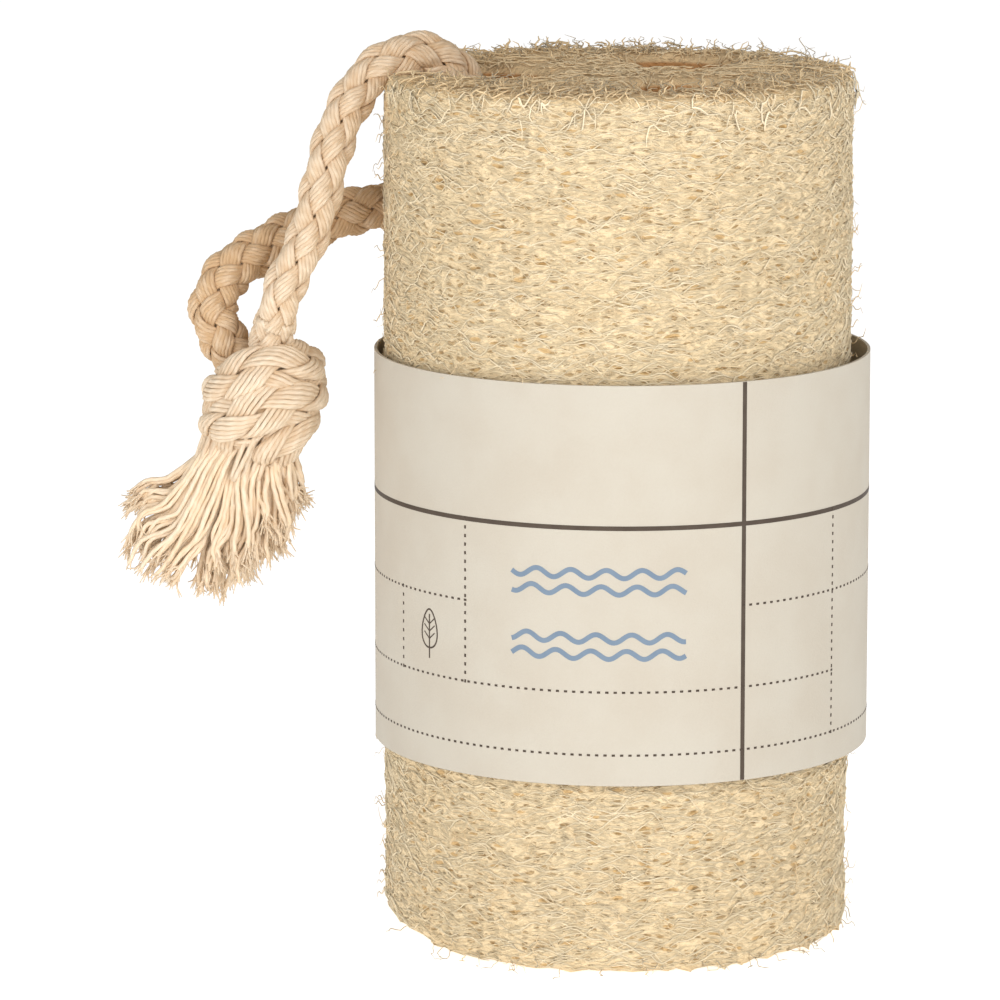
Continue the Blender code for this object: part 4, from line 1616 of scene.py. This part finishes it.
@dataclass
class Band:
    """The card band, with its printed rules, rows of dots and plain ornaments."""

    node: str = "paper_band"
    slot: str = "band_card"
    thickness: float = 0.0005
    overlap: tuple = (78.0, 102.0)
    step: float = 2.0
    edge: float = 0.3
    ink_height: float = 0.00003
    rule_width: float = 0.00078
    rule_height: float = 0.0778
    rule_angle: float = 297.4
    rule_gap: float = 0.5
    rule_inset: float = 0.00005
    dot_rows: tuple = ((0.0390, 90.0, 450.0), (0.0498, 90.0, 325.6), (0.0638, 90.0, 231.0),
                       (0.0638, 297.4, 450.0))
    dot_columns: tuple = ((231.0, 0.0498, 0.0778), (208.8, 0.0498, 0.0638), (325.6, 0.0390, 0.0778))
    wave_heights: tuple = (0.0700, 0.0672, 0.0590, 0.0562)
    wave_angle: float = 263.5
    wave_run: float = 0.030
    wave_length: float = 0.0060
    wave_swing: float = 0.0007
    wave_shift: float = 0.9
    wave_width: float = 0.00085
    wave_steps: int = 96
    leaf_angle: float = 219.5
    leaf_foot: float = 0.0525
    leaf_length: float = 0.0085
    leaf_width: float = 0.0022
    leaf_stalk: float = 0.0018
    leaf_line: float = 0.0003
    leaf_steps: int = 32
    vein_places: tuple = (0.40, 0.55, 0.70)
    vein_reach: float = 0.62
    vein_rise: float = 0.0011
    vein_line: float = 0.00022

    def __post_init__(self) -> None:
        """Takes the band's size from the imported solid."""
        low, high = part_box(self.node)
        self.radius = (high.x - low.x) / 2
        self.middle = (high.x + low.x) / 2
        self.low, self.high = low.z, high.z

    def place(self, angle: float, height: float, lift: float = 0.0) -> tuple[float, float, float]:
        """A point of the card's outer face.

        Args:
            angle: degrees round the band, 270 at the front.
            height: height over the floor.
            lift: how far off the face.

        Returns:
            The point.
        """
        first, last = self.overlap
        reach = self.radius + lift + (self.thickness if first <= angle % 360 <= last else 0)
        turn = math.radians(angle)
        return self.middle + reach * math.cos(turn), reach * math.sin(turn), height

    def sheet(self) -> None:
        """The card itself: one strip, with a second layer where its glued ends overlap."""
        first, last = self.overlap
        angles = sorted({*np.arange(0, 360, self.step), first - self.edge, last + self.edge})
        inner = self.radius - self.thickness
        bm = bmesh.new()
        rings = []
        for angle in angles:
            outside = self.place(angle, 0)[0:2]
            turn = math.radians(angle)
            inside = (self.middle + inner * math.cos(turn), inner * math.sin(turn))
            corners = ((*inside, self.low), (*outside, self.low), (*outside, self.high), (*inside, self.high))
            rings.append([bm.verts.new(corner) for corner in corners])
        for here, there in zip(rings, rings[1:] + rings[:1]):
            bridge(bm, here, there)
        bmesh.ops.recalc_face_normals(bm, faces=bm.faces)
        mesh = mesh_of(bm, "band_sheet")
        mesh.shade_smooth()
        mesh.set_sharp_from_angle(angle=math.radians(30))
        mesh.materials.append(CardFinish().material())
        rode(plain_object("band_sheet", mesh), self.slot, self.node)

    def degrees(self, arc: float) -> float:
        """The angle of a length along the card."""
        return math.degrees(arc / self.radius)

    def stroke(self, bm: bmesh.types.BMesh, path: Sequence[tuple[float, float]], width: float) -> None:
        """Adds one flat closed stroke of ink.

        Args:
            bm: the mesh that it is added to.
            path: angles and heights that its middle follows.
            width: its width.
        """
        flat = np.array([(math.radians(angle) * self.radius, height) for angle, height in path])
        run = np.gradient(flat, axis=0)
        run /= np.linalg.norm(run, axis=1, keepdims=True)
        across = np.stack([-run[:, 1], run[:, 0]], axis=1) * width / 2
        rings = []
        for left, right in zip(flat + across, flat - across):
            corners = []
            for (arc, height), lift in ((left, self.ink_height), (right, self.ink_height),
                                        (right, -self.ink_height), (left, -self.ink_height)):
                corners.append(bm.verts.new(self.place(self.degrees(arc), height, lift)))
            rings.append(corners)
        for here, there in zip(rings, rings[1:]):
            bridge(bm, here, there)
        bm.faces.new(rings[0])
        bm.faces.new(rings[-1][::-1])

    def print_strokes(self, name: str, strokes: Sequence[tuple[Sequence, float]],
                      ink: bpy.types.Material) -> None:
        """One piece of ink from several strokes.

        Args:
            name: the piece's name.
            strokes: the path and the width of each.
            ink: the ink's material.
        """
        bm = bmesh.new()
        for path, width in strokes:
            self.stroke(bm, path, width)
        bmesh.ops.recalc_face_normals(bm, faces=bm.faces)
        mesh = mesh_of(bm, name)
        mesh.materials.append(ink)
        rode(plain_object(name, mesh), self.slot)

    def arc_path(self, first: float, last: float, height: float) -> list[tuple[float, float]]:
        """Angles of the card's own sections from one angle to another, at one height.

        Args:
            first: the angle that it starts at.
            last: the angle that it ends at.
            height: its height.

        Returns:
            The path.
        """
        inner = np.arange(math.ceil(first / self.step) * self.step, last, self.step)
        angles = sorted({first, last, *[angle for angle in inner if angle > first]})
        return [(angle, height) for angle in angles]

    def print_rules(self, ink: bpy.types.Material) -> None:
        """The two plain rules, one round the band and one up it.

        Args:
            ink: the ink's material.
        """
        first, last = self.overlap
        level = self.arc_path(last + self.rule_gap, first + 360 - self.rule_gap, self.rule_height)
        flap = self.arc_path(first + self.edge, last - self.edge, self.rule_height)
        ends = (self.low + self.rule_inset, self.high - self.rule_inset)
        upright = [(self.rule_angle, height) for height in ends]
        self.print_strokes("band_rules", [(path, self.rule_width) for path in (level, flap, upright)], ink)

    def print_dots(self, ink: bpy.types.Material) -> None:
        """The rows and columns of dots.

        Args:
            ink: the ink's material.
        """
        bm = bmesh.new()
        paths = [self.arc_path(first, last, height) for height, first, last in self.dot_rows]
        paths += [[(angle, low), (angle, high)] for angle, low, high in self.dot_columns]
        for path in paths:
            verts = [bm.verts.new(self.place(angle, height)) for angle, height in path]
            for here, there in zip(verts, verts[1:]):
                bm.edges.new((here, there))
        piece = made_by(DotTree().group(), "band_dots", mesh_of(bm, "dot_guides"),
                        Middle=(self.middle, 0.0, 0.0), Material=ink)
        rode(piece, self.slot)

    def print_waves(self, ink: bpy.types.Material) -> None:
        """Plain wavy lines in the middle panel.

        Args:
            ink: the ink's material.
        """
        strokes = []
        for row, height in enumerate(self.wave_heights):
            path = []
            for i in range(self.wave_steps + 1):
                arc = (i / self.wave_steps - 0.5) * self.wave_run
                swing = self.wave_swing * math.sin(TAU * arc / self.wave_length + row * self.wave_shift)
                path.append((self.wave_angle + self.degrees(arc), height + swing))
            strokes.append((path, self.wave_width))
        self.print_strokes("band_waves", strokes, ink)

    def print_leaf(self, ink: bpy.types.Material) -> None:
        """A plain leaf in the small panel.

        Args:
            ink: the ink's material.
        """
        middle, foot, length = self.leaf_angle, self.leaf_foot, self.leaf_length
        blade = []
        for i in range(self.leaf_steps + 1):
            turn = TAU * i / self.leaf_steps
            share = (1 - math.cos(turn)) / 2
            reach = self.leaf_width * math.sin(turn) * (1.15 - 0.5 * share)
            rise = self.leaf_stalk + (length - self.leaf_stalk) * share
            blade.append((middle + self.degrees(reach), foot + rise))
        stem = [(middle, foot), (middle, foot + length * 0.9)]
        strokes = [(blade, self.leaf_line), (stem, self.leaf_line)]
        for share in self.vein_places:
            for side in (-1, 1):
                base = foot + length * share
                reach = self.degrees(side * self.leaf_width * self.vein_reach)
                vein = [(middle, base), (middle + reach, base + self.vein_rise)]
                strokes.append((vein, self.vein_line))
        self.print_strokes("band_leaf", strokes, ink)

    def build(self) -> None:
        """Makes the card and prints it."""
        self.sheet()
        dark = InkFinish("ink_dark", (70, 58, 48), (88, 76, 64)).material()
        grey_blue = InkFinish("ink_grey_blue", (111, 129, 148), (126, 142, 158)).material()
        self.print_rules(dark)
        self.print_dots(dark)
        self.print_waves(grey_blue)
        self.print_leaf(dark)


@dataclass
class Studio:
    """Pale floor, two soft lights and the camera at the photograph's angle."""

    middle_x: float = -0.0203
    distance: float = 1.027
    height: float = 0.2633
    pitch: float = 10.4
    lens: float = 216.0
    floor_reach: float = 6.0
    sky: tuple = (0.30, 0.43)
    bright_side: tuple = (0.25, -0.90, 0.30)
    aim: tuple = (0, 0, 0.08)
    lamps: tuple = (("key", (0.58, -0.89, 0.50), 0.7, 6.1), ("fill", (-0.74, -0.79, 0.40), 0.6, 4.8))

    def camera(self) -> None:
        """Looks level across and a little down, at the photograph's long focal length."""
        data = bpy.data.cameras.new("studio_camera")
        data.sensor_width = 36
        data.lens = self.lens
        data.clip_start = 0.05
        camera = plain_object("studio_camera", data)
        camera.location = (self.middle_x, -self.distance, self.height)
        camera.rotation_euler = (math.radians(90 - self.pitch), 0, 0)
        bpy.context.scene.camera = camera

    def floor(self) -> None:
        """A wide pale floor that fills the picture behind the sponge."""
        mesh = bpy.data.meshes.new("studio_floor")
        reach = self.floor_reach
        corners = [(-reach, -reach, 0), (reach, -reach, 0), (reach, reach, 0), (-reach, reach, 0)]
        mesh.from_pydata(corners, [], [(0, 1, 2, 3)])
        mesh.materials.append(FloorFinish().material())
        plain_object("studio_floor", mesh)

    def lamp(self, name: str, place: Sequence[float], size: float, power: float) -> None:
        """One soft square light.

        Args:
            name: its name.
            place: where it hangs.
            size: its width.
            power: its power in watts.
        """
        data = bpy.data.lights.new(name, "AREA")
        data.size = size
        data.energy = power
        lamp = plain_object(name, data)
        lamp.location = place
        lamp.rotation_euler = (Vector(self.aim) - Vector(place)).to_track_quat("-Z", "Y").to_euler()

    def surroundings(self) -> None:
        """A white sky that is a little brighter on the camera's side."""
        world = bpy.data.worlds.new("studio_sky")
        bpy.context.scene.world = world
        world.use_nodes = True
        tree = Tree(world.node_tree)
        way = tree.made("ShaderNodeTexCoord", out="Generated")
        facing = tree.work("DOT_PRODUCT", way, self.bright_side)
        strength = tree.between(facing, -1.0, 1.0, *self.sky)
        background = world.node_tree.nodes["Background"]
        tree.feed(background.inputs["Strength"], strength)
        background.inputs["Color"].default_value = (1, 1, 1, 1)

    def build(self) -> None:
        """Sets up the whole studio."""
        self.camera()
        self.floor()
        self.surroundings()
        for lamp in self.lamps:
            self.lamp(*lamp)
        bpy.context.scene.view_settings.view_transform = "Standard"


def fleeces() -> Iterator[Fleece]:
    """The layers of fibres, from the wall to the channels' mouths.

    Returns:
        The layers, one by one.
    """
    fibre = FibreFinish("loofah_fibre", (254, 240, 212), (249, 225, 182), matted=0.8).material()
    pale = FibreFinish("loofah_strand", (255, 244, 219), (253, 233, 196), matted=0.6).material()
    loose = FibreFinish("loofah_loose_fibre", (252, 234, 198), (226, 198, 154)).material()
    dull = FibreFinish("loofah_cut_fibre", (255, 242, 210), (228, 200, 156)).material()
    grey = FibreFinish("loofah_rim_fibre", (222, 210, 188), (172, 156, 130)).material()
    low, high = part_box(Band.node)
    under_band = 0.002
    above = {"Lowest": high.z - under_band}
    below = {"Highest": low.z + under_band}
    wall = {"Zone": Zone.WALL.value, "Grain_axis": (0.0, 0.0, 1.0)}
    mat = {**wall, "Points": 4, "Length": 0.0040, "Half_width": 0.00011, "Layer": 0.00012, "Slant": 0.55,
           "Bend": 1.5, "Wave": 0.00018, "Loose": 0.02, "Parting": 1.0, "Density": 700000.0}
    yield Fleece("sponge_wall_mat_upper", fibre, {**mat, **above, "Seed": 1})
    yield Fleece("sponge_wall_mat_lower", fibre, {**mat, **below, "Seed": 2})
    strands = {**wall, "Points": 7, "Length": 0.0075, "Half_width": 0.00012, "Layer": 0.00026, "Slant": 0.45,
               "Bend": 1.7, "Wave": 0.0004, "Loose": 0.02, "Parting": 0.8, "Density": 150000.0}
    yield Fleece("sponge_wall_strands_upper", pale, {**strands, **above, "Seed": 7})
    yield Fleece("sponge_wall_strands_lower", pale, {**strands, **below, "Seed": 8})
    hairs = {**wall, "Points": 8, "Length": 0.0015, "Length_spread": 0.8, "Half_width": 0.00008, "Stand": 1.0,
             "Lean": 1.4, "Bend": 2.2, "Wave": 0.0006, "Density": 36000.0}
    yield Fleece("sponge_wall_hairs_upper", loose, {**hairs, **above, "Seed": 5})
    yield Fleece("sponge_wall_hairs_lower", loose, {**hairs, **below, "Seed": 6})
    frayed = {**wall, "Points": 8, "Length": 0.0050, "Half_width": 0.00014, "Layer": 0.0008, "Slant": 2.4,
              "Bend": 4.0, "Wave": 0.0007, "Loose": 0.22, "Density": 170000.0}
    yield Fleece("sponge_edge_fibres", pale, {**frayed, "Lowest": 0.1462, "Seed": 9})
    # The foot's hairs take the darker grey finish, painted shade where the foot meets the floor.
    yield Fleece("sponge_foot_fibres", grey,
                 {**hairs, "Length": 0.0024, "Lean": 1.0, "Highest": 0.0030, "Density": 130000.0, "Seed": 10})
    top = {"Zone": Zone.TOP.value, "Grain_axis": (0.0, 1.0, 0.0)}
    yield Fleece("sponge_top_fibres", dull,
                 {**top, "Points": 6, "Length": 0.0040, "Half_width": 0.00015, "Layer": 0.0006, "Slant": 3.2,
                  "Bend": 3.0, "Density": 280000.0, "Seed": 3})
    yield Fleece("sponge_top_spokes", loose,
                 {**top, "Outside": 0.021, "Points": 5, "Length": 0.0060, "Half_width": 0.00017,
                  "Radial": 1.0, "Layer": 0.0014, "Slant": 0.8, "Bend": 1.4, "Wave": 0.0003,
                  "Density": 110000.0, "Seed": 12})
    yield Fleece("sponge_top_stubble", loose,
                 {**top, "Outside": 0.022, "Points": 5, "Length": 0.0019, "Half_width": 0.00016, "Stand": 1.0,
                  "Lean": 0.4, "Bend": 0.8, "Wave": 0.0003, "Density": 90000.0, "Seed": 14})
    yield Fleece("sponge_rim_hairs", grey,
                 {**top, "Outside": 0.028, "Points": 9, "Length": 0.0019, "Half_width": 0.00008, "Stand": 1.0,
                  "Lean": 0.9, "Bend": 2.4, "Wave": 0.0007, "Density": 110000.0, "Seed": 4})


def main() -> None:
    """Builds the studio, the cord first, then the sponge, its fibres and the band."""
    Studio().build()
    yarn_tree = YarnTree().group()
    cotton = CottonFinish("cotton_rope").material()
    rope = RopeLoop()
    loop = rope.build(yarn_tree, cotton)
    knot = RopeKnot().build(yarn_tree, cotton)
    loose_cotton = CottonFinish("cotton_yarn", (242, 222, 196), (222, 190, 148)).material()
    tassel = Tassel().build(yarn_tree, loose_cotton)
    rope.declare(loop, knot, tassel)
    web = SpongeBody().build()
    fibre_tree = FibreTree().group()
    for fleece in fleeces():
        fleece.build(fibre_tree, web, loop)
    Band().build()


if __name__ == "__main__":
    logging.basicConfig(level=logging.INFO, format="%(message)s")
    main()
